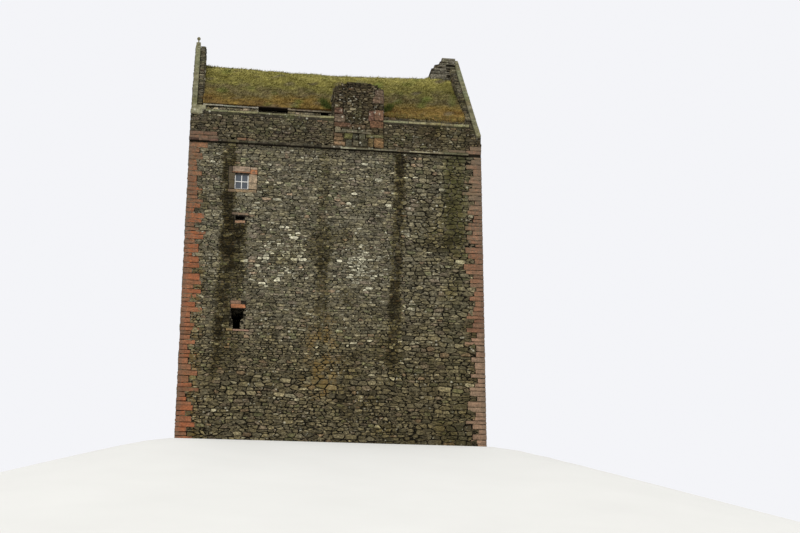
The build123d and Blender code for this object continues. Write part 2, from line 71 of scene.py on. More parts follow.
def maths(kind, *values):
    """One arithmetic step on one, two or three numbers."""
    return put("ShaderNodeMath", dict(enumerate(values)), operation=kind).outputs[0]


def blend(kind, factor, first, second):
    """Mixes two colours: first + factor * (kind(first, second) - first)."""
    sockets = {0: factor, 6: first, 7: second}
    return put("ShaderNodeMix", sockets, data_type="RGBA", blend_type=kind).outputs[2]


def noise(position, scale, detail=3.0, roughness=0.55):
    """Cloudy noise between 0 and 1, with scale waves to the metre."""
    sockets = {"Vector": position, "Scale": scale, "Detail": detail, "Roughness": roughness}
    return put("ShaderNodeTexNoise", sockets).outputs[0]


def shader(name):
    """Starts a material. Returns it with its object coordinates."""
    material = bpy.data.materials.new(name)
    material.use_nodes = True
    return material, material.node_tree.nodes.new("ShaderNodeTexCoord").outputs["Object"]


def finish(colour, roughness, shine=0.5, relief=None):
    """Ends a material with its colour, roughness and shine. relief is a height, a strength and a depth in
    metres."""
    tree = colour.id_data
    body = tree.nodes["Principled BSDF"]
    tree.links.new(colour, body.inputs["Base Color"])
    body.inputs["Roughness"].default_value = roughness
    body.inputs["Specular IOR Level"].default_value = shine
    if relief:
        bump = put("ShaderNodeBump", dict(zip(("Height", "Strength", "Distance"), relief)))
        tree.links.new(bump.outputs[0], body.inputs["Normal"])


def two_tone(name, scale, first, second, roughness, detail=3.0, shine=0.5, relief=None):
    """A finish that drifts between two colours. relief is the scale, detail, strength and depth of its
    bumps."""
    material, place = shader(name)
    colour = blend("MIX", noise(place, scale, detail), first, second)
    finish(colour, roughness, shine, relief and (noise(place, *relief[:2]), *relief[2:]))
    return material


def grid_faces(rows, columns, closed=False):
    """Four-cornered faces between the points of a grid. A closed grid joins its last column to its
    first."""
    i, j = np.meshgrid(np.arange(rows - 1), np.arange(columns if closed else columns - 1), indexing="ij")
    k = (j + 1) % columns
    corners = [i * columns + j, (i + 1) * columns + j, (i + 1) * columns + k, i * columns + k]
    return np.stack(corners, axis=-1).reshape(-1, 4)


world = bpy.data.worlds.new("overcast")
scene.world = world
world.use_nodes = True
sky = world.node_tree
sky.nodes.clear()
light = put("ShaderNodeBackground", {"Color": (1.0, 0.99, 0.97), "Strength": 1.0}, sky)
cloud = put("ShaderNodeBackground", {"Color": (0.905, 0.91, 0.94)}, sky)
ray = sky.nodes.new("ShaderNodeLightPath").outputs
seen = maths("MAXIMUM", ray["Is Camera Ray"], ray["Is Glossy Ray"])
seen = maths("MAXIMUM", seen, ray["Is Transmission Ray"])
mixed = put("ShaderNodeMixShader", {0: seen, 1: light.outputs[0], 2: cloud.outputs[0]})
put("ShaderNodeOutputWorld", {"Surface": mixed.outputs[0]})

sun = bpy.data.objects.new("bright_cloud", bpy.data.lights.new("bright_cloud", "SUN"))
scene.collection.objects.link(sun)
sun.data.energy = 1.6
sun.data.angle = math.radians(50)
sun.rotation_euler = (math.radians(48), 0.0, math.radians(-25))

half_x, half_y = 6.05, 4.85
lines = 81


def ground_surface(x, y):
    """Level round the foot of the walls, then falls by 0.34 * (sqrt(out^2 + 1) - 1), out metres from
    them."""
    out = np.hypot(np.maximum(np.abs(x) - half_x, 0.0), np.maximum(np.abs(y) - half_y, 0.0))
    return np.stack([x, y, -0.34 * (np.sqrt(out**2 + 1.0) - 1.0) - 0.004], axis=-1)


reach = np.linspace(-1.0, 1.0, lines)
reach = np.sign(reach) * (7.0 * np.abs(reach) + 53.0 * np.abs(reach) ** 3)
ground = bpy.data.meshes.new("ground")
ground_points = ground_surface(*np.meshgrid(reach, reach, indexing="ij")).reshape(-1, 3)
ground.from_pydata(ground_points.tolist(), [], grid_faces(lines, lines).tolist())
ground.materials.append(two_tone("ground", 0.3, (0.66, 0.66, 0.64), (0.6, 0.6, 0.58), 0.9))
ground.polygons.foreach_set("use_smooth", [True] * len(ground.polygons))
floor = bpy.data.objects.new("ground", ground)
scene.collection.objects.link(floor)

# Weather. Damp runs down the front in dark streaks from the drains, the window and the foot of the stack.
# Moss keeps to the head of the walls, ochre stain to the lower middle and the left corner, and pale lichen
# to dry stones.
wall_top, stack_middle = 12.3, 0.88


def ramp(value, low, high, start=0.0, end=1.0):
    """Rises smoothly from start to end as value goes from low to high."""
    sockets = {0: value, 1: low, 2: high, 3: start, 4: end}
    return put("ShaderNodeMapRange", sockets, interpolation_type="SMOOTHSTEP").outputs[0]


def product(first, *others):
    """Multiplies numbers together."""
    for other in others:
        first = maths("MULTIPLY", first, other)
    return first


def off(value, centre):
    """How far a value is from a centre, either way."""
    return maths("ABSOLUTE", maths("SUBTRACT", value, centre))


weather = bpy.data.node_groups.new("weather", "ShaderNodeTree")
weather.interface.new_socket("Position", in_out="INPUT", socket_type="NodeSocketVector")
for title in ("Wet", "Moss", "Ochre", "Speck"):
    weather.interface.new_socket(title, in_out="OUTPUT", socket_type="NodeSocketFloat")
weather.interface.new_socket("Shade", in_out="OUTPUT", socket_type="NodeSocketColor")
position = weather.nodes.new("NodeGroupInput").outputs[0]
across, back, up = put("ShaderNodeSeparateXYZ", {0: position}).outputs
front = ramp(back, -4.2, -4.6)
fall = maths("SUBTRACT", wall_top, up)
wander = maths("MULTIPLY", maths("SUBTRACT", noise(position, 1.1), 0.5), 0.3)
wander = maths("MULTIPLY_ADD", maths("SUBTRACT", noise(position, 6.0, 3.0, 0.6), 0.5), 0.6, wander)


def streak(centre, drift, half_width, head, foot):
    """One dark run down the front. Its middle is centre + drift * fall, moved by the wander. It fades to
    its sides from 0.4 of its half width, and smoothly at its head and its foot."""
    middle = maths("ADD", maths("MULTIPLY_ADD", fall, drift, centre), wander)
    near = ramp(off(across, middle), half_width, 0.4 * half_width)
    return product(near, ramp(up, foot - 1.2, foot + 1.6), ramp(up, head + 0.3, head - 0.4))


wet = 0.0
for weight, *run in (
    (0.95, -4.42, 0.012, 0.38, 12.3, 7.4),
    (0.62, -4.17, -0.045, 0.4, 8.2, 4.2),
    (0.6, -4.3, -0.042, 0.2, 5.0, 2.2),
    (0.35, -4.15, 0.0, 0.6, 6.2, 2.4),
    (0.85, -3.83, 0.0, 0.3, 8.95, 7.2),
    (0.5, -3.93, 0.0, 0.34, 7.2, 5.9),
    (0.45, -4.12, 0.0, 0.45, 9.0, 6.6),
    (0.3, -0.53, 0.0, 0.32, 12.3, 3.6),
    (0.32, -0.55, 0.0, 0.3, 7.9, 5.9),
    (0.55, 2.64, -0.033, 0.34, 12.3, 2.6),
    (0.35, 2.62, -0.02, 0.22, 12.3, 9.5),
    (0.4, 2.64, -0.034, 0.28, 7.4, 4.4),
    (0.42, 4.85, 0.03, 0.55, 12.3, 6.9),
):
    wet = maths("MULTIPLY_ADD", streak(*run), weight, wet)
wet = product(wet, front, ramp(noise(position, 3.2, 4.0, 0.65), 0.34, 0.56, 0.55, 1.0))
damp = ramp(noise(position, 0.5), 0.5, 0.72, 0.0, 0.35)

moss = product(ramp(noise(position, 1.3, 4.0), 0.5, 0.75), ramp(up, 9.0, 13.5, 0.35, 1.0))
green = product(ramp(off(across, 4.95), 0.75, 0.3), front, ramp(up, 7.5, 9.5, 0.3), ramp(up, 12.6, 12.2, 0.3))
ochre = product(ramp(off(across, -0.5), 1.1, 0.2), ramp(off(up, 3.4), 2.5, 0.9), front)
ochre = product(ochre, ramp(noise(position, 3.0, 4.0), 0.42, 0.62))
corner = product(ramp(across, -5.0, -5.5, 0.0, 0.8), ramp(up, 9.0, 6.0), front)
corner = product(corner, ramp(noise(position, 5.0, 4.0), 0.4, 0.6))

cells = put("ShaderNodeTexVoronoi", {"Vector": position, "Scale": 3.6}).outputs["Distance"]
specks = maths("MAXIMUM", ramp(cells, 0.2, 0.12), ramp(noise(position, 9.0, 3.0, 0.6), 0.6, 0.68, 0.0, 0.75))
on_stack = ramp(off(across, stack_middle), 1.1, 1.03)
some = product(on_stack, ramp(off(up, 14.3), 0.5, 0.3))
some = maths("MAXIMUM", ramp(noise(position, 1.1), 0.46, 0.6), some)

above = product(ramp(up, 12.35, 12.55), front)
shade = blend("MIX", ramp(up, 7.5, 2.0), (1, 1, 1), (0.80, 0.75, 0.64))
for mask, tone in (
    (ramp(up, 12.2, 12.6), (0.66, 0.63, 0.6)),
    (above, (0.96, 0.95, 0.92)),
    (product(above, on_stack), (0.72, 0.68, 0.63)),
    (product(ramp(across, 1.5, 4.0), front), (0.92, 0.90, 0.85)),
    (product(ramp(across, 5.0, 5.5), front), (0.84, 0.81, 0.78)),
    # Under the string course the walls darken in a band from 12.03 to 12.47 m, most from 12.21 to 12.29 m:
    # partly damp stain, partly painted shade under the ledge.
    (ramp(off(up, 12.25), 0.22, 0.04, 0.0, 0.9), (0.74, 0.74, 0.74)),
):
    shade = blend("MULTIPLY", mask, shade, tone)
masks = {
    "Wet": maths("MINIMUM", maths("ADD", wet, damp), 1.0),
    "Moss": maths("MAXIMUM", moss, green),
    "Ochre": maths("MAXIMUM", ochre, corner),
    "Speck": product(specks, some, maths("SUBTRACT", 1.0, wet)),
    "Shade": shade,
}
put("NodeGroupOutput", masks)

# Rubble walling. Dark whinstone and greywacke, split and laid by hand in lime mortar that still fills some
# joints and has weathered out of the rest. Courses wander, flat stones share a course, and pale field
# stones turn up.


def weathering(place):
    """Puts the shared weather masks into a material."""
    return put("ShaderNodeGroup", {0: place}, node_tree=weather).outputs


def own_tint(place):
    """The colour that each stone carries."""
    return put("ShaderNodeAttribute", {}, place.id_data, attribute_name="tint").outputs["Color"]


def stretched(place, *scale):
    """Object coordinates scaled along X, Y and Z, to draw a pattern out or press it flat."""
    return put("ShaderNodeMapping", {"Vector": place, "Scale": scale}).outputs[0]


def dimmed(colour, value):
    """Multiplies a colour by a number."""
    grey = put("ShaderNodeCombineColor", dict.fromkeys(range(3), value)).outputs[0]
    return blend("MULTIPLY", 1.0, colour, grey)


def dress(material, *names):
    """Gives CAD pieces their finish."""
    for name in names:
        nodes[name].data.materials[0] = material


def stone_material(name, coarse, mossy, stained, grain=1.8, own=None, rough=1.0, shaded=1.0):
    """Rough stone, mottled in two sizes and then weathered. Its colour comes from the piece's tint, or is
    one colour of its own on a solid without a tint. rough scales the mottling and shaded the darkening by
    height."""
    material, place = shader(name)
    mask = weathering(place)
    bedded = noise(stretched(place, 1.0, 1.0, grain), coarse, 5.0, 0.65)
    mottle = ramp(bedded, 0.3, 0.7, 1 - 0.6 * rough, 1 + 0.6 * rough)
    fine = ramp(noise(place, 2.2 * coarse, 5.0, 0.75), 0.34, 0.66, 1 - 0.5 * rough, 1 + 0.5 * rough)
    colour = dimmed(own or own_tint(place), product(mottle, fine))
    for kind, factor, wash in (
        ("MULTIPLY", shaded, mask["Shade"]),
        ("MIX", product(mask["Moss"], mossy), (0.085, 0.09, 0.035)),
        ("MIX", product(mask["Ochre"], 0.55), (0.2, 0.125, 0.035)),
        ("MULTIPLY", ramp(mask["Wet"], 0.05, 0.45), (1.0, 0.96, 0.74)),
        ("MULTIPLY", product(mask["Wet"], stained), (0.1, 0.075, 0.02)),
        ("MIX", product(mask["Speck"], 0.55), (0.5, 0.48, 0.38)),
    ):
        colour = blend(kind, factor, colour, wash)
    finish(colour, 0.95, 0.12, (noise(place, 3 * coarse, 6.0, 0.7), 0.7, 0.012))
    return material


rubble_stone = stone_material("rubble_stone", 9.0, 0.4, 0.92)

mortar, place = shader("mortar")
mask = weathering(place)
x, _, z = put("ShaderNodeSeparateXYZ", {0: place}).outputs
bare = maths("MAXIMUM", maths("MAXIMUM", ramp(x, 2.4, 3.2), ramp(z, 5.5, 3.0)), ramp(z, 12.3, 12.5))
lime_and_painted_light = maths("MULTIPLY_ADD", bare, -0.035, noise(stretched(place, 1.0, 1.0, 2.4), 5.5, 4.0, 0.65))
grit = noise(place, 14.0, 5.0, 0.7)
colour = blend("MIX", ramp(lime_and_painted_light, 0.47, 0.55), (0.007, 0.006, 0.004), (0.145, 0.128, 0.088))
colour = dimmed(colour, ramp(grit, 0.3, 0.7, 0.6, 1.4))
colour = blend("MULTIPLY", 1.0, colour, mask["Shade"])
colour = blend("MIX", product(mask["Wet"], 0.9), colour, (0.01, 0.008, 0.004))
finish(colour, 1.0, 0.1, (grit, 0.8, 0.02))
dress(
    mortar,
    *("front_wall", "back_wall", "left_wall", "right_wall", "front_parapet", "back_parapet", "centre_stack"),
    *("front_attic_wall", "back_attic_wall", "left_gable", "right_gable", "roof_vault", "cellar_vault"),
    *("left_ridge_stack", "right_ridge_stack"),
    *("front_left_quoins", "front_right_quoins", "back_left_quoins", "back_right_quoins"),
)


def free_runs(left, right, low, high, holes):
    """The stretches of a course from low to high that no hole takes."""
    runs = [(left, right)]
    for a, b, bottom, top in holes:
        if bottom < high - 0.01 and top > low + 0.01:
            cut = []
            for p, q in runs:
                if b <= p or a >= q:
                    cut.append((p, q))
                    continue
                cut += [(p, a)] if a - p > 0.04 else []
                cut += [(b, q)] if q - b > 0.04 else []
            runs = cut
    return runs


SWELL = 0.08


def break_run(rng, p, q, low, high, stone, rows, floor, roof):
    """Breaks one run of a course into stones of random length. A deep course now and then takes two thin
    stones. Each row ends with how far the stone may swell past its left, right, bottom and top: not at all
    at the end of a run."""
    u = p
    while u < q - 0.01:
        w = (stone[0] + (stone[1] - stone[0]) * rng.random() ** 1.4) * (0.55 + 2.6 * (high - low))
        if q - u - w < 0.1:
            w = q - u
        sides = (0.0 if u == p else SWELL, 0.0 if u + w >= q - 0.001 else SWELL)
        if high - low > 0.13 and rng.random() < 0.3:
            m = low + (high - low) * rng.uniform(0.3, 0.7)
            rows += [(u, u + w, low, m, *sides, floor, SWELL), (u, u + w, m, high, *sides, SWELL, roof)]
        else:
            rows.append((u, u + w, low, high, *sides, floor, roof))
        u += w


def lay_courses(seed, height, left, right, holes, course, stone, deeper=0.0):
    """Fills a face with courses of random height. left and right give the ends of the course at a height;
    deeper is the share that the lowest courses gain. Returns rows of left, right, bottom, top and the swell
    past each."""
    rng = np.random.default_rng(seed)
    rows = []
    v = 0.0
    while v < height - 0.02:
        h = (course[0] + (course[1] - course[0]) * rng.random() ** 1.5) * (1 + deeper * max(0.0, 1 - v / 5))
        if height - v - h < 0.08:
            h = height - v
        ends = left(v + h / 2), right(v + h / 2)
        floor = 0.0 if v == 0.0 else SWELL
        roof = 0.0 if v + h >= height - 0.001 else SWELL
        for p, q in free_runs(*ends, v, v + h, holes):
            break_run(rng, p, q, v, v + h, stone, rows, floor, roof)
        for a, b, bottom, top in holes:
            a, b = max(a, ends[0]), min(b, ends[1])
            if v < bottom - 0.05 < v + h - 0.05:
                for p, q in free_runs(a, b, v, bottom, holes):
                    break_run(rng, p, q, v, bottom, stone, rows, floor, 0.0)
            if v < top < v + h - 0.05:
                for p, q in free_runs(a, b, top, v + h, holes):
                    break_run(rng, p, q, top, v + h, stone, rows, 0.0, roof)
        v += h
    return np.array(rows)


RIM = 8


def field_stones(rows, seed, proud, height, ends, holes, teeth, joint):
    """Turns rows into irregular stones. Each row gives a seed point, moved at random, and its stone is the
    seed's cell in a weighted Voronoi pattern of the face, stretched along the courses and cut to the row
    with its swell. Along direction e the cell reaches min over neighbours of (d.d + w - w') / (2 d.e). Of
    each eighth of a turn the farthest of four points is kept, which finds the cell's corners. Bed joints
    are wide and upright ones narrow. The rim lies in the mortar and the inner ring stands proud and leans
    at random. Holes and teeth push back what would cover them, and slow waves bend the courses. Returns (n,
    2 * RIM, 3) in across, up, out."""
    rng = np.random.default_rng(seed)
    n = len(rows)
    u0, u1, v0, v1, su0, su1, sv0, sv1 = rows.T
    wide, tall = u1 - u0, v1 - v0
    stretch = 2.5
    centre = (u0 + u1) / 2 + wide * rng.uniform(-0.25, 0.25, n)
    centre = np.stack([centre, ((v0 + v1) / 2 + tall * rng.uniform(-0.13, 0.13, n)) * stretch], axis=1)
    weight = 0.2 * wide * tall * stretch
    angle = (np.arange(4 * RIM)[None] + rng.uniform(0.0, 4.0, (n, 1))) * np.pi / (2 * RIM)
    e = np.stack([np.cos(angle), np.sin(angle)], axis=-1)
    reach = np.full((n, 4 * RIM), 9.0)
    count = min(17, n)
    for part in np.array_split(np.arange(n), n // 400 + 1):
        d = centre[None, :, :] - centre[part][:, None, :]
        square = (d**2).sum(-1)
        near = np.argpartition(square, count - 1, axis=1)[:, :count]
        d = np.take_along_axis(d, near[..., None], axis=1)
        square = np.take_along_axis(square, near, axis=1)
        plane = np.maximum(square + weight[part][:, None] - weight[near], 0.3 * square)
        along = np.einsum("pkc,prc->pkr", d, e[part])
        along = np.where(square[..., None] < 1e-9, -1.0, along)
        limit = np.where(along > 1e-6, plane[..., None] / (2 * np.maximum(along, 1e-6)), 9.0)
        reach[part] = limit.min(axis=1)
    c, t = e[..., 0], e[..., 1] / stretch
    mid_u, mid_v = centre[:, :1], centre[:, 1:] / stretch
    side = np.where(c > 0, (u1 + su1)[:, None] - mid_u, mid_u - (u0 - su0)[:, None])
    rise = np.where(t > 0, (v1 + sv1)[:, None] - mid_v, mid_v - (v0 - sv0)[:, None])
    reach = np.minimum(reach, side / np.maximum(np.abs(c), 1e-6))
    reach = np.minimum(reach, rise / np.maximum(np.abs(t), 1e-6))
    far = reach.reshape(n, RIM, 4).argmax(axis=2)[..., None]
    reach, c, t = (np.take_along_axis(a.reshape(n, RIM, 4), far, axis=2)[..., 0] for a in (reach, c, t))
    gap = np.reshape(joint, (-1, 1)) * rng.uniform(0.2, 1.4, (n, 1)) * rng.uniform(0.5, 1.5, (n, RIM))
    reach = np.maximum(reach - gap / 2 * np.hypot(0.65 * c, 1.1 * stretch**2 * t), 0.012)
    inset = np.clip(rng.uniform(0.012, 0.04, (n, RIM)) / reach, 0.08, 0.4)
    u, v = (
        np.concatenate([middle + reach * way, middle + reach * (1 - inset) * way], axis=1)
        for middle, way in ((mid_u, c), (mid_v, t))
    )
    for a, b, bottom, top in (*holes, *teeth):
        inside = (u > a) & (u < b) & (v > bottom) & (v < top)
        if inside.any():
            nearest = np.argmin(np.stack([u - a, b - u, v - bottom, top - v]), axis=0)
            u = np.where(inside & (nearest == 0), a, np.where(inside & (nearest == 1), b, u))
            v = np.where(inside & (nearest == 2), bottom, np.where(inside & (nearest == 3), top, v))
    lean = rng.normal(0.0, 0.11, (n, 2, 1))
    face = (proud * rng.uniform(0.35, 1.35, n) * np.clip(np.sqrt(wide * tall) / 0.2, 0.5, 1.2))[:, None]
    face = face + lean[:, 0] * (u[:, RIM:] - mid_u) + lean[:, 1] * (v[:, RIM:] - mid_v)
    face = np.clip(face + rng.normal(0.0, 0.004, (n, RIM)), 0.002, 1.6 * proud)
    out = np.concatenate([np.full((n, RIM), -0.012), face], axis=1)
    room = np.minimum(np.minimum(v, height - v), np.minimum(u - ends[0], ends[1] - u))
    for a, b, bottom, top in holes:
        away = np.maximum(np.maximum(a - u, u - b), 0), np.maximum(np.maximum(bottom - v, v - top), 0)
        room = np.minimum(room, np.hypot(*away))
    shift = 0.5 * np.sin(1.3 * u + 1.7 * v + seed) + 0.3 * np.sin(2.9 * u - 2.3 * v + 2 * seed)
    shift = shift + 0.2 * np.sin(0.6 * u + 7.0 * v)
    return np.stack([u, v + 0.04 * np.clip(room / 0.6, 0.0, 1.0) * shift, out], axis=-1)


grey_palette = np.array(
    [
        *((0.150, 0.131, 0.079), (0.111, 0.098, 0.061), (0.193, 0.172, 0.112), (0.126, 0.114, 0.079)),
        *((0.087, 0.079, 0.054), (0.145, 0.120, 0.087), (0.133, 0.130, 0.074), (0.203, 0.150, 0.098)),
        (0.370, 0.350, 0.255),
    ]
)
grey_shares = (0.2, 0.2, 0.16, 0.15, 0.12, 0.08, 0.05, 0.02, 0.02)


def stone_tints(rows, seed, pale=None):
    """Picks a colour from the palette for each stone and varies its brightness. pale gives, at each stone,
    the extra chance of the palest. The rim of a stone is darker than its face. Returns (n, 2 * RIM, 3)."""
    rng = np.random.default_rng(seed + 1000)
    n = len(rows)
    pick = rng.choice(len(grey_palette), n, p=grey_shares)
    if pale is not None:
        pick = np.where(rng.random(n) < pale, len(grey_palette) - 1, pick)
    colour = grey_palette[pick] * rng.uniform(0.55, 1.28, (n, 1))
    shade = np.concatenate([rng.uniform(0.5, 1.0, (n, RIM)), rng.uniform(0.75, 1.25, (n, RIM))], axis=1)
    return colour[:, None, :] * shade[..., None]


def piece(name, points, loops, counts, tints, material, slot, smooth=False):
    """Makes a mesh object from whole arrays: points, the corners of all faces in a row, the number of
    corners of each face, and a tint for each point."""
    mesh = bpy.data.meshes.new(name)
    mesh.vertices.add(len(points))
    mesh.vertices.foreach_set("co", points.astype(np.float32).ravel())
    mesh.loops.add(len(loops))
    mesh.loops.foreach_set("vertex_index", loops.astype(np.int32))
    mesh.polygons.add(len(counts))
    mesh.polygons.foreach_set("loop_start", (np.cumsum(counts) - counts).astype(np.int32))
    mesh.polygons.foreach_set("use_smooth", np.full(len(counts), smooth))
    colour = mesh.attributes.new("tint", "FLOAT_COLOR", "POINT").data
    colour.foreach_set("color", np.column_stack([tints, np.ones(len(tints))]).astype(np.float32).ravel())
    mesh.materials.append(material)
    mesh.update(calc_edges=True)
    mesh.validate()
    made = bpy.data.objects.new(name, mesh)
    scene.collection.objects.link(made)
    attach(made, "root")
    return made


def placed(points, start, across, rise=(0, 0, 1)):
    """Carries across, up, out onto a face: start + u * across + v * rise + w * (across x rise)."""
    out = np.cross(across, rise)
    start, across, rise = np.array(start), np.array(across), np.array(rise)
    return start + points[..., :1] * across + points[..., 1:2] * rise + points[..., 2:] * out


def rubble(name, faces):
    """Joins the stones of several wall faces into one piece. A face is its stones, their tints, and a start
    corner, a direction across and a direction up. A stone has a quad on each side, one face in front and
    one at the back."""
    points = np.concatenate([placed(stones, *place).reshape(-1, 3) for stones, _, *place in faces])
    tints = np.concatenate([tints.reshape(-1, 3) for _, tints, *_ in faces])
    n = len(points) // (2 * RIM)
    k = np.arange(RIM)
    after = (k + 1) % RIM
    corners = np.concatenate([np.stack([k, after, after + RIM, k + RIM], axis=1).ravel(), k + RIM, k[::-1]])
    loops = (np.arange(n)[:, None] * 2 * RIM + corners).ravel()
    piece(name, points, loops, np.tile([4] * RIM + [RIM, RIM], n), tints, rubble_stone, "rubble")


# Corner stones. Squared blocks of red sandstone, tooled and set long and short in turn, so that each bonds
# into one face and then the other. Depths and lengths vary, and the left corners are redder than the right.
quoin_depths = np.array([0.30, 0.38, 0.24, 0.42, 0.33, 0.20, 0.36, 0.28, 0.45, 0.26, 0.31, 0.22, 0.40])
quoin_longs = np.array([0.66, 0.82, 0.60, 0.74, 0.56])
quoin_shorts = np.array([0.36, 0.42, 0.32])


def quoin_rows(shift):
    """Bottom, top, length along X and length along Y of each corner stone, from the ground to the wall
    head. A block over 0.29 m deep is two thinner stones, and the upper one is cut short where the lower is
    long, or let further in."""
    tops = np.cumsum(np.roll(np.tile(quoin_depths, 4), shift))
    tops = np.append(tops[tops < wall_top], wall_top)
    bottoms = np.insert(tops[:-1], 0, 0.0)
    turn = np.arange(len(tops)) + shift
    longs, shorts = quoin_longs[turn % 5], quoin_shorts[turn % 3]
    k = np.repeat(np.arange(len(tops)), 1 + (tops - bottoms > 0.29))
    same = k[1:] == k[:-1]
    lower, upper = np.append(same, False), np.insert(same, 0, False)
    split = (0.52 * bottoms + 0.48 * tops)[k]
    along_x, along_y = (
        np.where(upper, np.where(run > 0.5, 0.66, 1.75) * run, run)
        for run in (np.where(turn % 2 == odd, longs, shorts)[k] for odd in (0, 1))
    )
    return np.where(upper, split, bottoms[k]), np.where(lower, split, tops[k]), along_x, along_y


corner_rows = {(-1, -1): quoin_rows(0), (1, -1): quoin_rows(3), (-1, 1): quoin_rows(5), (1, 1): quoin_rows(8)}


def corner_end(corner, column):
    """Gives, for a height, how far the corner stone there runs along the face."""
    bottoms, lengths = corner_rows[corner][0], corner_rows[corner][column]
    return lambda z: float(lengths[max(int(np.searchsorted(bottoms, z, side="right")) - 1, 0)])


sides, edges, tips = [], [], []
for axis in range(3):
    b, c = (axis + 1) % 3, (axis + 2) % 3
    steps = (4, 2, 1)
    for way in (0, 1):
        around = ((0, 0), (1, 0), (1, 1), (0, 1))[:: 2 * way - 1]
        sides.append([3 * (way * steps[axis] + p * steps[b] + q * steps[c]) + axis for p, q in around])
    for p, q in ((0, 0), (0, 1), (1, 0), (1, 1)):
        near = 3 * (p * steps[b] + q * steps[c])
        strip = [near + b, near + 3 * steps[axis] + b, near + 3 * steps[axis] + c, near + c]
        edges.append(strip[::-1] if p == q else strip)
for k in range(8):
    tips.append([3 * k, 3 * k + 1, 3 * k + 2][:: 2 * (k.bit_count() % 2) - 1])
box_loops = np.concatenate(sides + edges + tips)
box_counts = [len(face) for face in sides + edges + tips]


def squared_stones(lows, highs, bevel, seed, wobble=0.004):
    """Boxes with cut edges, moved a little at the corners. Each corner of a box is three points, one on
    each face, inset by bevel from the two other faces. Returns (n, 24, 3)."""
    rng = np.random.default_rng(seed)
    half, centre = (highs - lows) / 2, (highs + lows) / 2
    cut = np.minimum(bevel, 0.3 * half.min(axis=1))[:, None, None, None]
    signs = np.stack(np.meshgrid(*[(-1.0, 1.0)] * 3, indexing="ij"), axis=-1).reshape(8, 1, 3)
    points = centre[:, None, None] + signs * (half[:, None, None] - cut * (1 - np.eye(3)))
    return (points + rng.normal(0.0, wobble, (len(lows), 8, 1, 3))).reshape(-1, 24, 3)


def boxed(rows, bevel, seed, wobble=0.004):
    """Makes squared stones from rows of left, right, bottom, top, back and front."""
    rows = np.array(rows, dtype=float)
    return squared_stones(rows[:, :6:2], rows[:, 1:6:2], bevel, seed, wobble)


def squared_piece(name, points, tints, material, slot):
    """Joins squared stones into one piece."""
    n = len(points)
    loops = (np.arange(n)[:, None] * 24 + box_loops).ravel()
    tints = np.repeat(tints, 24, axis=0)
    piece(name, points.reshape(-1, 3), loops, np.tile(box_counts, n), tints, material, slot)


sandstone, place = shader("red_sandstone_tooled")
mask = weathering(place)
height = put("ShaderNodeSeparateXYZ", {0: place}).outputs[2]
bands = ramp(noise(stretched(place, 1.0, 1.0, 9.0), 3.0, 4.0, 0.6), 0.3, 0.7, 0.72, 1.25)
bands = product(bands, ramp(noise(place, 17.0, 5.0, 0.7), 0.34, 0.66, 0.7, 1.35))
stain = product(ramp(noise(place, 7.0, 6.0, 0.75), 0.42, 0.62, 0.0, 0.75), ramp(height, 6.0, 9.0, 0.35, 1.0))
stain = maths("MAXIMUM", stain, ramp(height, 12.4, 12.8, 0.0, 0.35))
edge_x, edge_y, _ = put(
    "ShaderNodeSeparateXYZ", {0: put("ShaderNodeVectorMath", {0: place}, operation="ABSOLUTE").outputs[0]}
).outputs
# Painted shade at the corners: within 0.26 m of each corner the stone darkens towards the arris, where the
# face turns from the light.
corner_shade = ramp(edge_y, half_y - 0.26, half_y - 0.02, 0.0, 0.5)
corner_shade = product(ramp(edge_x, half_x - 0.26, half_x - 0.02), corner_shade)
# The stone is greyer and less orange higher up, from 8 m to 11 m.
greyer_higher = blend("MIX", ramp(height, 8.0, 11.0), (0.93, 0.78, 0.67), (0.82, 0.82, 0.75))
colour = dimmed(own_tint(place), bands)
for kind, factor, wash in (
    ("MULTIPLY", 1.0, greyer_higher),
    ("MIX", stain, (0.1, 0.083, 0.058)),
    ("MIX", corner_shade, (0.11, 0.083, 0.06)),
    ("MIX", product(mask["Moss"], 0.3), (0.12, 0.12, 0.05)),
    ("MIX", product(mask["Wet"], 0.5), (0.05, 0.035, 0.025)),
):
    colour = blend(kind, factor, colour, wash)
finish(colour, 0.92, 0.15, (noise(place, 45.0, 4.0, 0.6), 0.4, 0.006))

red_palette = np.array(
    [
        *((0.25, 0.10, 0.05), (0.262, 0.108, 0.053), (0.225, 0.102, 0.055)),
        *((0.25, 0.122, 0.068), (0.19, 0.102, 0.06)),
    ]
)

quoin_points, quoin_tints = [], []
for (sx, sy), (bottoms, tops, along_x, along_y) in corner_rows.items():
    rng = np.random.default_rng(50 + sx + 3 * sy)
    n = len(tops)
    face_x, face_y = np.full(n, sx * (half_x + 0.012)), np.full(n, sy * (half_y + 0.012))
    far = np.stack([face_x, face_y, bottoms + 0.005], axis=1)
    near = np.stack([sx * (half_x - along_x + 0.01), sy * (half_y - along_y + 0.01), tops - 0.007], axis=1)
    lows, highs = np.minimum(far, near), np.maximum(far, near)
    quoin_points.append(squared_stones(lows, highs, 0.018, 60 + sx + 3 * sy))
    shade = red_palette[rng.integers(0, 5, n)] * rng.uniform(0.85, 1.15, (n, 1))
    if sx > 0:
        shade = 0.55 * shade + 0.45 * np.array([0.172, 0.156, 0.125]) * rng.uniform(0.7, 1.2, (n, 1))
        shade = np.where((bottoms < 4.5)[:, None], 0.6 * shade + 0.4 * np.array([0.28, 0.25, 0.2]), shade)
    quoin_tints.append(shade)
quoin_points, quoin_tints = np.concatenate(quoin_points), np.concatenate(quoin_tints)
squared_piece("corner_stones", quoin_points, quoin_tints, sandstone, "red_sandstone")

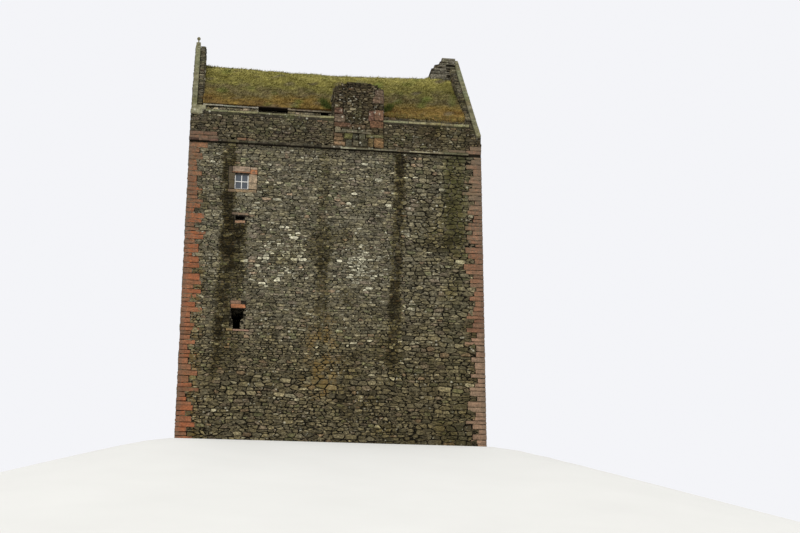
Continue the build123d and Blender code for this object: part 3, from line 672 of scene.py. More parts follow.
# The four wall faces up to the string course. On the long front, pale stones gather in a few places, and
# right of a wandering seam the stones are larger. The rubble stops at the dressed work round the openings.
length, depth = 2 * half_x, 2 * half_y
front_place = ((0, -half_y, 0), (1, 0, 0))
back_place = ((0, half_y, 0), (-1, 0, 0))
front_holes = [
    (1.63, 2.79, 10.21, 11.34),
    (1.82, 2.5, 9.15, 9.31),
    (1.9, 2.41, 8.87, 9.17),
    (1.9, 2.51, 4.34, 5.62),
    (1.75, 2.65, 4.34, 4.46),
]


def pale_spots(u, v, spots):
    """Sum of soft round spots: share * exp(-((u - centre) / width)^2 - ((v - height) / tall)^2)."""
    return sum(share * np.exp(-(((u - a) / da) ** 2) - ((v - b) / db) ** 2) for a, b, da, db, share in spots)


def wall_face(
    seed, width, near, far, column, holes, spots=(), course=(0.07, 0.22), stone=(0.16, 0.55), seam=None
):
    """Lays the rubble of one wall face between its two corners, which are near at u = 0 and far at u =
    width. Beyond a seam, which wanders by 0.35 * sin(1.3 z) + 0.2 * sin(3.1 z), the stones are larger and
    the joints wider."""
    near_end, far_end = corner_end(near, column), corner_end(far, column)

    def right(z):
        return width - far_end(z)

    def middle(z):
        return seam + 0.35 * math.sin(1.3 * z) + 0.2 * math.sin(3.1 * z)

    if seam is None:
        rows = lay_courses(seed, wall_top, near_end, right, holes, course, stone)
        coarse = np.full(len(rows), 0.3)
    else:
        fine = lay_courses(seed, wall_top, near_end, middle, holes, course, stone, 0.5)
        large = lay_courses(seed + 100, wall_top, middle, right, holes, (0.085, 0.25), (0.16, 0.5), 0.2)
        rows = np.concatenate([fine, large])
        coarse = np.maximum(np.clip(1.4 - rows[:, 2] / 4, 0, 1), np.arange(len(rows)) >= len(fine))
    teeth = []
    for corner in (near, far):
        for low, high, run in zip(*corner_rows[corner][:2], corner_rows[corner][column]):
            teeth.append((-0.1, run, low, high) if corner == near else (width - run, width + 0.1, low, high))
    u, v = (rows[:, 0] + rows[:, 1]) / 2, (rows[:, 2] + rows[:, 3]) / 2
    joint = 0.015 + 0.013 * coarse
    stones = field_stones(rows, seed, 0.03, wall_top, (0.5, width - 0.5), holes, teeth, joint)
    return stones, stone_tints(rows, seed, pale_spots(u, v, spots) if spots else None)


spots = [
    (3.9, 7.6, 0.9, 0.8, 0.5),
    (7.1, 7.4, 0.7, 0.6, 0.85),
    (4.0, 1.75, 1.2, 0.15, 0.35),
    (2.6, 6.6, 0.5, 0.5, 0.2),
    (9.5, 4.0, 1.5, 1.0, 0.05),
]
front = wall_face(1, length, (-1, -1), (1, -1), 2, front_holes, spots, (0.05, 0.19), (0.11, 0.42), 8.8)
rubble("front_rubble", [(*front, (-half_x, -half_y, 0), (1, 0, 0))])

back_holes = [
    (length / 2 - 2.6 - 0.63, length / 2 - 2.6 + 0.53, 5.53, 6.62),
    (length / 2 + 2.6 - 0.63, length / 2 + 2.6 + 0.53, 10.21, 11.3),
]
for half, low, high in ((0.85, 0.0, 1.65), (0.76, 1.65, 2.05), (0.55, 2.05, 2.32), (0.3, 2.32, 2.48)):
    back_holes.append((length / 2 + 2.0 - half, length / 2 + 2.0 + half, low, high))
back = wall_face(2, length, (1, 1), (-1, 1), 2, back_holes)
rubble("back_rubble", [(*back, (half_x, half_y, 0), (-1, 0, 0))])

slit_sills = (2.2, 5.2, 9.3)
end_holes = [(half_y - 0.25, half_y + 0.25, sill - 0.18, sill + 0.78) for sill in slit_sills]
for name, side, seed in (("right_rubble", 1, 3), ("left_rubble", -1, 4)):
    end = wall_face(seed, depth, (side, -side), (side, side), 3, end_holes)
    rubble(name, [(*end, (side * half_x, -side * half_y, 0), (0, side, 0))])

# Window in the front. A lintel of several stones and two stones to each jamb over a long sill, all of
# pinkish sandstone; the left ones are stained by the water that runs past. The painted sash holds four
# small panes, and its top is painted near black as the shadow of the lintel.
def blocks(name, rows, place, bevel, seed, material, slot="red_sandstone", wobble=0.004, wash=1.0):
    """Sets squared blocks on a face. A row may end with the colour of its block; wash tones all of them."""
    rows = np.array(rows, dtype=float)
    tints = rows[:, 6:] if rows.shape[1] > 6 else np.ones((len(rows), 3))
    squared_piece(name, placed(boxed(rows, bevel, seed, wobble), *place), wash * tints, material, slot)


window_rows = [
    (-4.42, -4.28, 11.02, 11.3, -0.28, 0.012, 0.09, 0.062, 0.036),
    (-4.27, -3.56, 11.09, 11.32, -0.28, 0.018, 0.48, 0.33, 0.22),
    (-4.27, -3.56, 11.035, 11.085, -0.1, 0.016, 0.40, 0.18, 0.085),
    (-3.55, -3.26, 11.0, 11.2, -0.28, 0.014, 0.50, 0.2, 0.085),
    (-3.55, -3.27, 11.205, 11.31, -0.28, 0.010, 0.44, 0.31, 0.2),
    (-4.42, -4.175, 10.7, 11.01, -0.28, 0.010, 0.125, 0.093, 0.043),
    (-4.40, -4.175, 10.35, 10.69, -0.28, 0.014, 0.12, 0.092, 0.042),
    (-3.605, -3.26, 10.62, 10.99, -0.28, 0.014, 0.50, 0.35, 0.215),
    (-3.605, -3.28, 10.35, 10.61, -0.28, 0.012, 0.46, 0.33, 0.2),
    (-4.42, -3.29, 10.19, 10.308, -0.28, 0.024, 0.36, 0.24, 0.125),
]
blocks("window_stones", window_rows, front_place, 0.012, 80, sandstone, wash=np.array([0.79, 0.84, 0.98]))

paint, place = shader("white_paint")
white = blend("MIX", ramp(noise(place, 18.0, 4.0), 0.3, 0.7), (0.66, 0.66, 0.63), (0.54, 0.53, 0.49))
# Painted shadow of the lintel: from 10.93 m up, the top of the sash is mixed towards near black.
lintel_shadow = ramp(put("ShaderNodeSeparateXYZ", {0: place}).outputs[2], 10.93, 10.965, 0.0, 0.93)
finish(blend("MIX", lintel_shadow, white, (0.02, 0.015, 0.008)), 0.45)
dress(paint, "front_window_sash", "back_window_sashes")

wavy = (5.0, 1.0, 0.3, 0.01)
glass = two_tone("old_glass", 3.0, (0.032, 0.04, 0.05), (0.075, 0.085, 0.1), 0.06, relief=wavy)
dress(glass, "front_window_glass", "back_window_glass")
# Painted shade: the reveals of the window, slit and loop are near black, for the shade deep in the openings.
reveal_shade = stone_material("reveal_painted_shade", 8.0, 0.2, 0.5, 1.0, (0.014, 0.011, 0.008))
dress(reveal_shade, "front_window_surround", "front_slit_dressing", "front_loop_dressing")

# Slit and broken loop. Each keeps long slabs of sandstone over it and under it, built into the wall. The
# loop's jambs have fallen out, so its other edges are the torn rubble.
slit_rows = [
    (-4.23, -3.565, 9.21, 9.31, -0.08, 0.016, 0.2, 0.155, 0.115),
    (-4.11, -3.69, 8.86, 8.985, -0.28, 0.014, 0.42, 0.27, 0.18),
    (-4.15, -3.74, 5.475, 5.61, -0.28, 0.016, 0.22, 0.15, 0.11),
    (-4.13, -3.56, 5.3, 5.465, -0.28, 0.02, 0.36, 0.17, 0.09),
    (-4.29, -4.03, 4.365, 4.46, -0.28, 0.03, 0.24, 0.2, 0.1),
    (-4.02, -3.4, 4.375, 4.43, -0.28, 0.024, 0.3, 0.22, 0.18),
]
blocks("slit_and_loop_stones", slit_rows, front_place, 0.02, 81, sandstone, wobble=0.008)

# Back windows and end slits. They keep the same dressed work in full, in the plain red stone of the
# corners. The window stones are the front window's, moved; a slit has a lintel, a sill and two stones to
# each jamb.
dress(mortar, "back_window_surrounds", "left_slit_frames", "right_slit_frames")
rng = np.random.default_rng(82)
frame_points = []
for x, z in ((2.6, 6.0), (-2.6, 10.68)):
    shift = np.array(window_rows)[:, :6] + (3.89, 3.89, z - 10.68, z - 10.68, 0, 0)
    frame_points.append(placed(boxed(shift, 0.012, 83), (x, half_y, 0), (-1, 0, 0)))
slit_frame = [
    (-0.25, 0.25, 0.605, 0.78, -0.28, 0.012),
    (-0.25, 0.25, -0.18, -0.005, -0.28, 0.016),
    (-0.25, -0.072, 0.0, 0.28, -0.28, 0.01),
    (-0.25, -0.072, 0.29, 0.6, -0.28, 0.014),
    (0.072, 0.25, 0.0, 0.36, -0.28, 0.012),
    (0.072, 0.25, 0.37, 0.6, -0.28, 0.01),
]
for sill in slit_sills:
    for side, seed in ((-1, 84), (1, 85)):
        frame_points.append(placed(boxed(slit_frame, 0.012, seed), (side * half_x, 0, sill), (0, side, 0)))


def mixed_reds(count):
    """A random red of the palette for each stone, a little lighter or darker."""
    return red_palette[rng.integers(0, 5, count)] * rng.uniform(0.8, 1.2, (count, 1))


frame_points = np.concatenate(frame_points)
squared_piece("dressed_frames", frame_points, mixed_reds(len(frame_points)), sandstone, "red_sandstone")

# Door surround at the back. Three blocks of the same red stone to each jamb, and nine wedges over the round
# head, all with tooled faces and bedded in mortar.
dress(mortar, "back_door_surround")
door_spring, door_in, door_out = 1.65, 0.55, 0.85
door_place = ((-2.0, half_y, 0), (-1, 0, 0))
jambs = [
    (left, right, low, high, -0.26, 0.014)
    for left, right in ((-door_out, -door_in), (door_in, door_out))
    for low, high in ((0.005, 0.54), (0.55, 1.08), (1.09, 1.64))
]
turns = np.linspace(0.0, np.pi, 10)
edge = (door_in + 0.003, door_out - 0.003, -0.26, 0.014)
wedges = [(a + 0.006, b - 0.006, *edge) for a, b in zip(turns, turns[1:])]
turn, radius, out = np.moveaxis(boxed(wedges, 0.012, 87, 0.002), -1, 0)
arch = np.stack([-radius * np.cos(turn), door_spring + radius * np.sin(turn), out], axis=-1)
door_stones = placed(np.concatenate([boxed(jambs, 0.015, 86), arch]), *door_place)
squared_piece("door_stones", door_stones, mixed_reds(len(door_stones)), sandstone, "red_sandstone")

# Door leaf and floors. Upright oak planks on the closed leaf, with three iron straps, rows of nail heads
# and a pull, and long boards on the two timber floors.
oak, place = shader("weathered_oak")
fibre = ramp(noise(stretched(place, 14.0, 14.0, 1.2), 3.0, 5.0, 0.7), 0.3, 0.7)
finish(blend("MIX", fibre, (0.065, 0.047, 0.032), (0.17, 0.135, 0.1)), 0.8, relief=(fibre, 0.5, 0.004))
dress(oak, "back_door_leaf")
door_radius = 0.54
plank_edges = np.linspace(-door_radius, door_radius, 7)
planks = []
for a, b in zip(plank_edges, plank_edges[1:]):
    head = door_spring + math.sqrt(door_radius**2 - max(abs(a), abs(b)) ** 2 + 1e-6) - 0.006
    planks.append((a + 0.004, b - 0.004, 0.01, head, -0.25, -0.235))
blocks("door_planks", planks, door_place, 0.004, 88, oak, "oak", 0.0)

pitted = (60.0, 3.0, 0.4, 0.002)
iron = two_tone("rusted_iron", 30.0, (0.03, 0.026, 0.024), (0.11, 0.05, 0.025), 0.75, 4.0, relief=pitted)
metal = [(-0.5, 0.46, z - 0.03, z + 0.03, -0.24, -0.227) for z in (0.3, 1.0, 1.62)]
for z in (0.3, 1.0, 1.62):
    for x in (-0.45, -0.27, -0.09, 0.09, 0.27, 0.43):
        metal.append((x - 0.012, x + 0.012, z - 0.012, z + 0.012, -0.228, -0.218))
metal.append((0.36, 0.42, 0.9, 0.96, -0.24, -0.2))
blocks("door_ironwork", metal, door_place, 0.004, 89, iron, "oak", 0.0)


def laid_floor(name, tones, gap, long, wide):
    """Starts a floor laid in bond, in two tones with a third between. Gives it, its place and its colour."""
    material, place = shader(name)
    sockets = {"Vector": place, "Scale": 1.0, "Mortar Size": gap, "Brick Width": long, "Row Height": wide}
    sockets.update(zip(("Color1", "Color2", "Mortar"), tones))
    return material, place, put("ShaderNodeTexBrick", sockets).outputs[0]


tones = (0.14, 0.105, 0.075), (0.2, 0.155, 0.11), (0.02, 0.015, 0.01)
boards, place, colour = laid_floor("floor_boards", tones, 0.006, 2.4, 0.18)
finish(colour, 0.8, relief=(noise(place, 12.0), 0.4, 0.004))
dress(boards, "chamber_floor", "attic_floor")

# String course. Thin overhanging slabs in runs, over a band painted near black: partly its damp, partly
# painted shadow under the slabs. Red and brown slabs to the left, and two thin layers to the right, of which
# the lower is pale.
walk = 12.43
slab_stone = stone_material("slab_stone", 5.0, 0.5, 0.7, 1.0, None, 0.6, 0.4)
black, brown, rough = (0.004, 0.003, 0.002), (0.018, 0.015, 0.01), (20.0, 3.0, 0.6, 0.01)
# Near black, partly for damp and partly as painted shadow under the string slabs. The walks and the CAD eaves
# slabs take the same band.
damp_and_shadow_band = two_tone("damp_and_shadow_band", 8.0, black, brown, 1.0, 5.0, 0.05, rough)
dress(damp_and_shadow_band, "front_string_course", "back_string_course")


def slab_run(rng, left, right, low, high, behind, ahead, length, ragged=0.0):
    """Divides a run into slabs of random length with a narrow joint. low to high is their height and behind
    to ahead their depth; ragged moves each top and front edge at random. Returns the slabs' low and high
    corners."""
    n = max(1, round(2 * (right - left) / sum(length)))
    share = rng.uniform(*length, n)
    cuts = left + np.insert(np.cumsum(share), 0, 0.0) * (right - left) / share.sum()
    tops, fronts = high + ragged * rng.uniform(-0.5, 0.5, n), ahead + ragged * rng.uniform(-1, 1, n)
    lows = np.stack([cuts[:-1] + 0.004, np.full(n, low), np.full(n, behind)], axis=1)
    return lows, np.stack([cuts[1:] - 0.004, tops, fronts], axis=1)


def slab_piece(name, runs, bevel, seed, base, spread, wobble=0.005):
    """Joins runs of slabs into one piece. A run is its slabs' low and high corners and its place; base is
    their mean tint, or one for each run."""
    rng = np.random.default_rng(seed)
    points = [placed(squared_stones(*run[:2], bevel, seed, wobble), *run[2:]) for run in runs]
    base = np.repeat(np.broadcast_to(base, (len(runs), 3)), [len(part) for part in points], axis=0)
    points = np.concatenate(points)
    tints = base * rng.uniform(1 - spread, 1 + spread, (len(points), 1))
    tints = tints * rng.uniform(0.95, 1.05, (len(points), 3))
    squared_piece(name, points, tints, slab_stone, "dressed_stone")


rng = np.random.default_rng(90)
runs = [
    (*slab_run(rng, *row), *place)
    for place, *row in (
        (front_place, -half_x, -4.9, 12.335, walk, 0.0, 0.12, (0.3, 0.6), 0.03),
        (front_place, -4.895, -0.3, 12.335, walk, 0.0, 0.12, (0.14, 0.5), 0.03),
        (front_place, -0.29, half_x - 0.55, 12.325, 12.388, 0.0, 0.122, (0.35, 1.0), 0.014),
        (front_place, -0.29, half_x - 0.55, 12.39, walk, 0.0, 0.118, (0.2, 0.6), 0.014),
        (back_place, -half_x, half_x, 12.35, walk, 0.0, 0.12, (0.35, 1.0), 0.02),
    )
]
string_tints = [
    *((0.085, 0.052, 0.036), (0.052, 0.045, 0.03), (0.19, 0.168, 0.115)),
    *((0.075, 0.062, 0.04), (0.1, 0.09, 0.06)),
]
slab_piece("string_slabs", runs, 0.012, 91, string_tints, 0.7)

# Parapets. Rubble walls that stand on the string course, with a few red stones at the corners and two small
# drains at the level of the walk. Flat slabs bedded on their heads cope them.
inner_x, inner_y, garret_y = 5.6, 4.4, 3.7
parapet_height = 1.14
parapet_holes = [
    (5.9, 7.96, -0.1, 1.3),
    (1.67, 1.79, -0.1, 0.12),
    (5.51, 5.63, -0.1, 0.12),
    (11.65, 12.2, 0.78, 1.3),
    (-0.1, 0.76, -0.1, 0.175),
    (-0.1, 0.56, 0.175, 0.365),
    (0.56, 1.1, 0.185, 0.355),
    (0.76, 1.15, -0.1, 0.185),
    (1.9, 2.3, 0.03, 0.16),
    (10.7, 11.46, 0.02, 0.16),
    (11.45, 12.2, -0.1, 0.16),
    (11.62, 12.2, 0.16, 0.36),
]


def band_face(seed, width, height, holes=(), left=None, right=None, proud=0.03, **sizes):
    """Lays rubble on a face of the given width and height, or between two edges that depend on the height.
    sizes change the course, the stone or the joint from those of the parapets."""
    sizes = {"course": (0.055, 0.18), "stone": (0.13, 0.46), "joint": 0.014, **sizes}
    left, right = left or (lambda v: 0.0), right or (lambda v: width)
    rows = lay_courses(seed, height, left, right, holes, sizes["course"], sizes["stone"])
    rows = rows[rows[:, 1] - rows[:, 0] > 0.03]
    stones = field_stones(rows, seed, proud, height, (0.0, width), holes, (), sizes["joint"])
    return stones, stone_tints(rows, seed)


back_parapet_holes = [(-0.1, 0.45, 0.78, 1.3), (11.65, 12.2, 0.78, 1.3)]
for name, way, seed, holes in (("front", 1, 5, parapet_holes), ("back", -1, 7, back_parapet_holes)):
    outside = ((-way * half_x, -way * half_y, walk), (way, 0, 0))
    inside = ((way * inner_x, -way * inner_y, walk), (-way, 0, 0))
    faces = [
        (*band_face(seed, length, parapet_height, holes), *outside),
        (*band_face(seed + 1, 2 * inner_x, parapet_height), *inside),
    ]
    rubble(f"{name}_parapet_rubble", faces)
parapet_corner_rows = [
    (-6.062, -5.3, 12.445, 12.6, -0.4, 0.014, 0.21, 0.115, 0.075),
    (-6.06, -5.5, 12.61, 12.79, -0.4, 0.01, 0.2, 0.1, 0.065),
    (-5.49, -4.96, 12.62, 12.78, -0.3, 0.016, 0.17, 0.09, 0.06),
    (-5.29, -4.91, 12.45, 12.61, -0.3, 0.012, 0.15, 0.1, 0.07),
    (-4.14, -3.76, 12.465, 12.585, -0.3, 0.014, 0.2, 0.1, 0.06),
    (4.66, 5.4, 12.455, 12.585, -0.3, 0.014, 0.17, 0.12, 0.085),
    (5.41, 6.06, 12.44, 12.585, -0.4, 0.012, 0.22, 0.125, 0.085),
    (5.58, 6.062, 12.595, 12.785, -0.4, 0.014, 0.18, 0.12, 0.08),
]
blocks("parapet_corner_stones", parapet_corner_rows, front_place, 0.015, 92, sandstone)

rng = np.random.default_rng(93)
runs = [
    (*slab_run(rng, *row, -0.475, 0.04, (0.4, 1.0), 0.016), *place)
    for place, *row in (
        (front_place, -5.46, -0.16, 13.685, 13.765),
        (front_place, 1.92, 5.56, 13.65, 13.752),
        (back_place, -inner_x, inner_x, 13.67, 13.765),
    )
]
coping_tints = [(0.19, 0.178, 0.1), (0.24, 0.225, 0.13), (0.22, 0.21, 0.13)]
slab_piece("coping_slabs", runs, 0.018, 94, coping_tints, 0.22, 0.006)
# The coping's bed is dark grey-brown: partly the bed's own colour, partly painted shade under the coping
# slabs.
coping_bed_and_shade = stone_material("coping_bed_and_shade", 7.0, 0.5, 0.7, 1.0, (0.05, 0.045, 0.032))
dress(coping_bed_and_shade, "front_coping", "back_coping")

# Wall walks. The ways behind the parapets, each paved with two rows of stone flags. They lie by their own
# weight on the wall head, on a bed that stays damp.
runs = []
for y in (-inner_y, garret_y):
    for low, high in ((0.005, 0.34), (0.35, 0.695)):
        row = slab_run(rng, -5.59, 5.59, low, high, -0.01, 0.012, (0.45, 0.9))
        runs.append((*row, (0, y, walk), (1, 0, 0), (0, 1, 0)))
slab_piece("walk_flags", runs, 0.006, 95, (0.2, 0.19, 0.15), 0.3, 0.002)
dress(damp_and_shadow_band, "front_wall_walk", "back_wall_walk")

# Garret walls between walk and eaves. Rubble tinted pale as painted light, palest at the top, against the
# shade under the eaves; a low doorway to the walk with a near-black block over it as painted shadow; a
# near-black block beside the stack as the painted shadow of a lost beam's hole; and thin eaves slabs that
# carry the turf.
garret_height, garret_door = 1.99, -2.64
front_garret, back_garret = ((0, -garret_y, 0), (1, 0, 0)), ((0, garret_y, 0), (-1, 0, 0))
garret_holes = [(2.345, 3.56, -0.1, 2.1), (4.97, 5.3, 1.81, 2.1)]
stones, tints = band_face(9, 2 * inner_x, garret_height, garret_holes, proud=0.045)
# Painted light: the front garret rubble is tinted 2.5 times paler, rising to 3.7 times at its top, against
# the shade under the eaves slabs; right of the door the lift is 0.74 of that.
painted_light = np.interp(stones[..., 1:2], (1.78, 1.95), (2.5, 3.7))
painted_light = painted_light * np.interp(stones[..., :1], (3.4, 3.6), (1.0, 0.74))
rubble("front_attic_rubble", [(stones, painted_light * tints, (-inner_x, -garret_y, walk), (1, 0, 0))])
# Painted light: the CAD garret walls take a pale grey of their own, against the same shade.
lime_and_painted_light = stone_material("attic_wall_painted_light", 9.0, 0.2, 0.5, 1.8, (0.2, 0.185, 0.14), 0.8, 0.3)
dress(lime_and_painted_light, "front_attic_wall", "back_attic_wall")
# Painted shadow: near-black blocks fill the head of the doorway up to the eaves, where the recess lies in
# shade.
painted_shadow_black = two_tone("painted_shadow_black", 9.0, (0.0012, 0.001, 0.0008), (0.005, 0.004, 0.003), 1.0, shine=0.0)
head = [(-3.26, -2.66, 14.362, 14.5, -0.3, 0.1), (-2.655, -2.04, 14.362, 14.5, -0.3, 0.1)]
blocks("garret_door_head_shadow", head, front_garret, 0.01, 106, painted_shadow_black, "dressed_stone", 0.003)
# Painted shadow: a near-black block on the wall face beside the stack stands for the shade of a beam hole.
hole = [(-0.63, -0.3, 14.24, 14.419, -0.02, 0.012)]
blocks("beam_hole_shadow", hole, front_garret, 0.003, 107, painted_shadow_black, "dressed_stone", 0.0)
back_stones = band_face(10, 2 * inner_x, garret_height)
rubble("back_attic_rubble", [(*back_stones, (inner_x, garret_y, walk), (-1, 0, 0))])
runs = [
    (*slab_run(rng, *row, 14.505, -0.2, 0.1, (0.5, 1.1), 0.012), *place)
    for place, *row in (
        (front_garret, -inner_x, -3.27, 14.425),
        (front_garret, -2.03, -0.16, 14.425),
        (front_garret, 1.92, inner_x, 14.455),
        (back_garret, -inner_x, inner_x, 14.455),
    )
]
eaves_tints = [(0.4, 0.38, 0.31), (0.27, 0.23, 0.16), (0.12, 0.1, 0.06), (0.24, 0.22, 0.16)]
slab_piece("eaves_slabs", runs, 0.01, 96, eaves_tints, 0.15)
# Where the eaves slabs leave a gap over the door, the near-black band shows there as painted shadow.
dress(damp_and_shadow_band, "front_eaves_slabs", "back_eaves_slabs")

# Chimney stack in the middle of the front parapet. Squared stones at its foot and at its corners, red and
# buff, with rubble between, a ragged ledge of thin slabs above the foot, and a top worn down to loose
# stones.
stack_rows = [
    (1.6, 2.062, 2.05, 2.34, -0.3, 0.032, 0.2, 0.125, 0.08),
    (1.68, 2.06, 2.35, 2.66, -0.3, 0.03, 0.19, 0.125, 0.083),
    (1.68, 2.062, 1.25, 1.74, -0.28, 0.034, 0.22, 0.115, 0.07),
    (1.44, 1.665, 1.2, 1.7, -0.2, 0.028, 0.18, 0.09, 0.06),
    (1.5, 2.06, 0.93, 1.24, -0.3, 0.03, 0.2, 0.1, 0.055),
    (1.32, 2.062, 0.46, 0.62, -0.3, 0.032, 0.2, 0.17, 0.08),
    (1.66, 2.062, 0.03, 0.45, -0.3, 0.034, 0.32, 0.18, 0.085),
    (-0.002, 0.36, 1.46, 1.76, -0.3, 0.032, 0.16, 0.085, 0.055),
    (-0.002, 0.44, 1.1, 1.45, -0.3, 0.03, 0.2, 0.135, 0.09),
    (-0.002, 0.7, 0.88, 1.09, -0.3, 0.034, 0.18, 0.095, 0.057),
    (0.71, 1.3, 0.88, 1.04, -0.2, 0.028, 0.14, 0.09, 0.05),
    (-0.002, 0.46, 0.03, 0.24, -0.3, 0.032, 0.33, 0.2, 0.11),
    (-0.002, 0.38, 0.25, 0.43, -0.3, 0.03, 0.25, 0.15, 0.08),
    (-0.002, 0.34, 0.44, 0.6, -0.3, 0.032, 0.19, 0.115, 0.065),
    (0.475, 0.75, 0.03, 0.33, -0.3, 0.022, 0.11, 0.095, 0.062),
    (0.765, 1.04, 0.03, 0.32, -0.3, 0.016, 0.165, 0.135, 0.085),
    (1.055, 1.4, 0.03, 0.34, -0.3, 0.024, 0.095, 0.08, 0.052),
    (1.415, 1.65, 0.03, 0.44, -0.3, 0.018, 0.19, 0.13, 0.062),
    (0.4, 0.76, 0.35, 0.61, -0.3, 0.02, 0.165, 0.145, 0.055),
    (0.775, 1.02, 0.34, 0.6, -0.3, 0.016, 0.085, 0.075, 0.048),
    (1.035, 1.31, 0.36, 0.61, -0.3, 0.022, 0.15, 0.13, 0.08),
]
stack_width, shoulder = 2.06, 2.65
stack_place = ((-0.15, -4.9, walk), (1, 0, 0))
worn_red = stone_material("worn_red_stone", 8.0, 0.3, 0.6, 2.2, None, 1.0, 0.3)
wash = np.array([0.62, 0.68, 0.7])
blocks("stack_corner_stones", stack_rows, stack_place, 0.03, 97, worn_red, wobble=0.008, wash=wash)
rng = np.random.default_rng(98)
ledge = [(0.02, 1.45, 0.635, 0.7, -0.2, 0.07), (0.3, 1.3, 0.71, 0.77, -0.2, 0.04)]
runs = [(*slab_run(rng, *row, (0.2, 0.5), 0.03), *stack_place) for row in ledge]
slab_piece("stack_ledge", runs, 0.015, 99, (0.14, 0.13, 0.085), 0.4, 0.012)


def worn_edge(*places):
    """Makes an edge of the stack's front, plumb to the shoulder and then worn back. It takes a height above
    the foot."""
    return lambda v: float(np.interp(v, (shoulder, 2.85, 2.94), places))


worn_left, worn_right = worn_edge(0.0, 0.35, 0.65), worn_edge(stack_width, 1.71, 1.4)
small = {"course": (0.055, 0.16), "stone": (0.15, 0.44), "joint": 0.017}
stack_holes = [*(row[:4] for row in stack_rows), (0.02, 1.45, 0.635, 0.7), (0.3, 1.3, 0.7, 0.77)]
behind = (lambda v: stack_width - worn_right(v + 2.16), lambda v: stack_width - worn_left(v + 2.16))
faces = [
    (*band_face(11, stack_width, 2.94, stack_holes, worn_left, worn_right, 0.045, **small), *stack_place),
    (*band_face(12, 1.2, shoulder, proud=0.045, **small), (-0.15, -garret_y, walk), (0, -1, 0)),
    (*band_face(13, 1.2, shoulder, proud=0.045, **small), (1.91, -4.9, walk), (0, 1, 0)),
    (*band_face(14, stack_width, 0.78, (), *behind, 0.04, **small), (1.91, -garret_y, 14.59), (-1, 0, 0)),
]
rubble("stack_rubble", faces)
cap_rows = []
tops = [
    *((0.0, 0.33, 2.74), (0.3, 0.6, 2.9), (0.58, 0.98, 2.97)),
    *((0.95, 1.36, 2.975), (1.33, 1.7, 2.92), (1.68, 2.06, 2.76)),
]
for x0, x1, z in tops:
    for y0, y1 in ((-0.38, -0.01), (-0.82, -0.4), (-1.19, -0.84)):
        top = z + rng.uniform(-0.03, 0.03)
        ends = x0 + rng.uniform(0, 0.03), x1 - rng.uniform(0, 0.03)
        cap_rows.append((*ends, top - 0.16, top, y0, y1 + rng.uniform(-0.03, 0.02)))
cap = placed(boxed(cap_rows, 0.04, 100, 0.014), *stack_place)
cap_tints = grey_palette[rng.integers(0, 7, len(cap_rows))] * rng.uniform(0.6, 1.3, (len(cap_rows), 1))
squared_piece("stack_cap_stones", cap, cap_tints, rubble_stone, "rubble")

# Gables. The end walls of the garret, built of the same rubble as the walls below: on the outer faces, on
# the inner faces above the roof, and on the sloping wall head beside the skews.
skew_foot, gable_rise = 13.21, 5.83
gable_top = skew_foot - walk + gable_rise
slope_length = math.hypot(gable_rise, half_y)
cosine, sine = half_y / slope_length, gable_rise / slope_length
roof_half, roof_rise = 3.78, 3.45


def gable_edge(v):
    """Distance of the sloping wall head from the outer corner, at a height above the string course."""
    return max(0.0, (v - 0.78) * half_y / gable_rise)


def inner_edge(v):
    """Distance of the roof or of the garret wall from the outer corner of the gable, at the same height."""
    return 1.15 if v < 2.07 else min(half_y, 1.22 + roof_half * (v - 2.17) / roof_rise)


outer = (gable_edge, lambda v: depth - gable_edge(v))
near_half = (lambda v: max(0.45, gable_edge(v)), inner_edge)
far_half = (lambda v: depth - inner_edge(v), lambda v: depth - max(0.45, gable_edge(v)))
strip = {"course": (0.1, 0.24), "stone": (0.2, 0.4), "joint": 0.028, "proud": 0.06}
for name, side, seed in (("left", -1, 20), ("right", 1, 30)):
    outside = ((side * half_x, -side * half_y, walk), (0, side, 0))
    inside = ((side * inner_x, side * half_y, walk), (0, -side, 0))
    faces = [
        (*band_face(seed, depth, gable_top, (), *outer), *outside),
        (*band_face(seed + 1, depth, gable_top, (), *near_half), *inside),
        (*band_face(seed + 2, depth, gable_top, (), *far_half), *inside),
    ]
    low, high = sorted((side * 5.85, side * inner_x))
    for step, start, way in ((3, low, 1), (4, high, -1)):
        place = ((start, -way * half_y, skew_foot), (way, 0, 0), (0, way * cosine, sine))
        faces.append((*band_face(seed + step, high - low, slope_length, **strip), *place))
    rubble(f"{name}_gable_rubble", faces)

# Skews. Long smooth slabs of stone, green with lichen, bedded up the outer edge of each gable's sloping
# head, and the squared block that they end on at the left foot.
rng = np.random.default_rng(101)
runs = []
for side in (-1, 1):
    low, high = sorted((side * 6.055, side * 5.845))
    for way, foot, edges in ((1, 0.71 if side < 0 else 0.0, (low, high)), (-1, 0.0, (-high, -low))):
        corners = slab_run(rng, foot, slope_length - 0.02, *edges, 0.0, 0.108, (0.7, 1.3))
        place = ((0, -way * half_y, skew_foot), (way, 0, 0), (0, way * cosine, sine))
        runs.append((*(corner[:, [1, 0, 2]] for corner in corners), *place))
slab_piece("skew_slabs", runs, 0.012, 102, (0.161, 0.157, 0.092), 0.06, 0.002)
lichened = stone_material("lichened_block", 6.0, 0.5, 0.5, 1.0, (0.2, 0.19, 0.12), 0.6, 0.4)
dress(lichened, "left_gable_skew", "right_gable_skew", "left_finial", "left_skewputt")
block = [(-6.058, -5.465, 13.575, 13.955, -0.455, 0.01, 0.24, 0.23, 0.15)]
blocks("corner_block", block, front_place, 0.025, 103, slab_stone, "dressed_stone", 0.006)

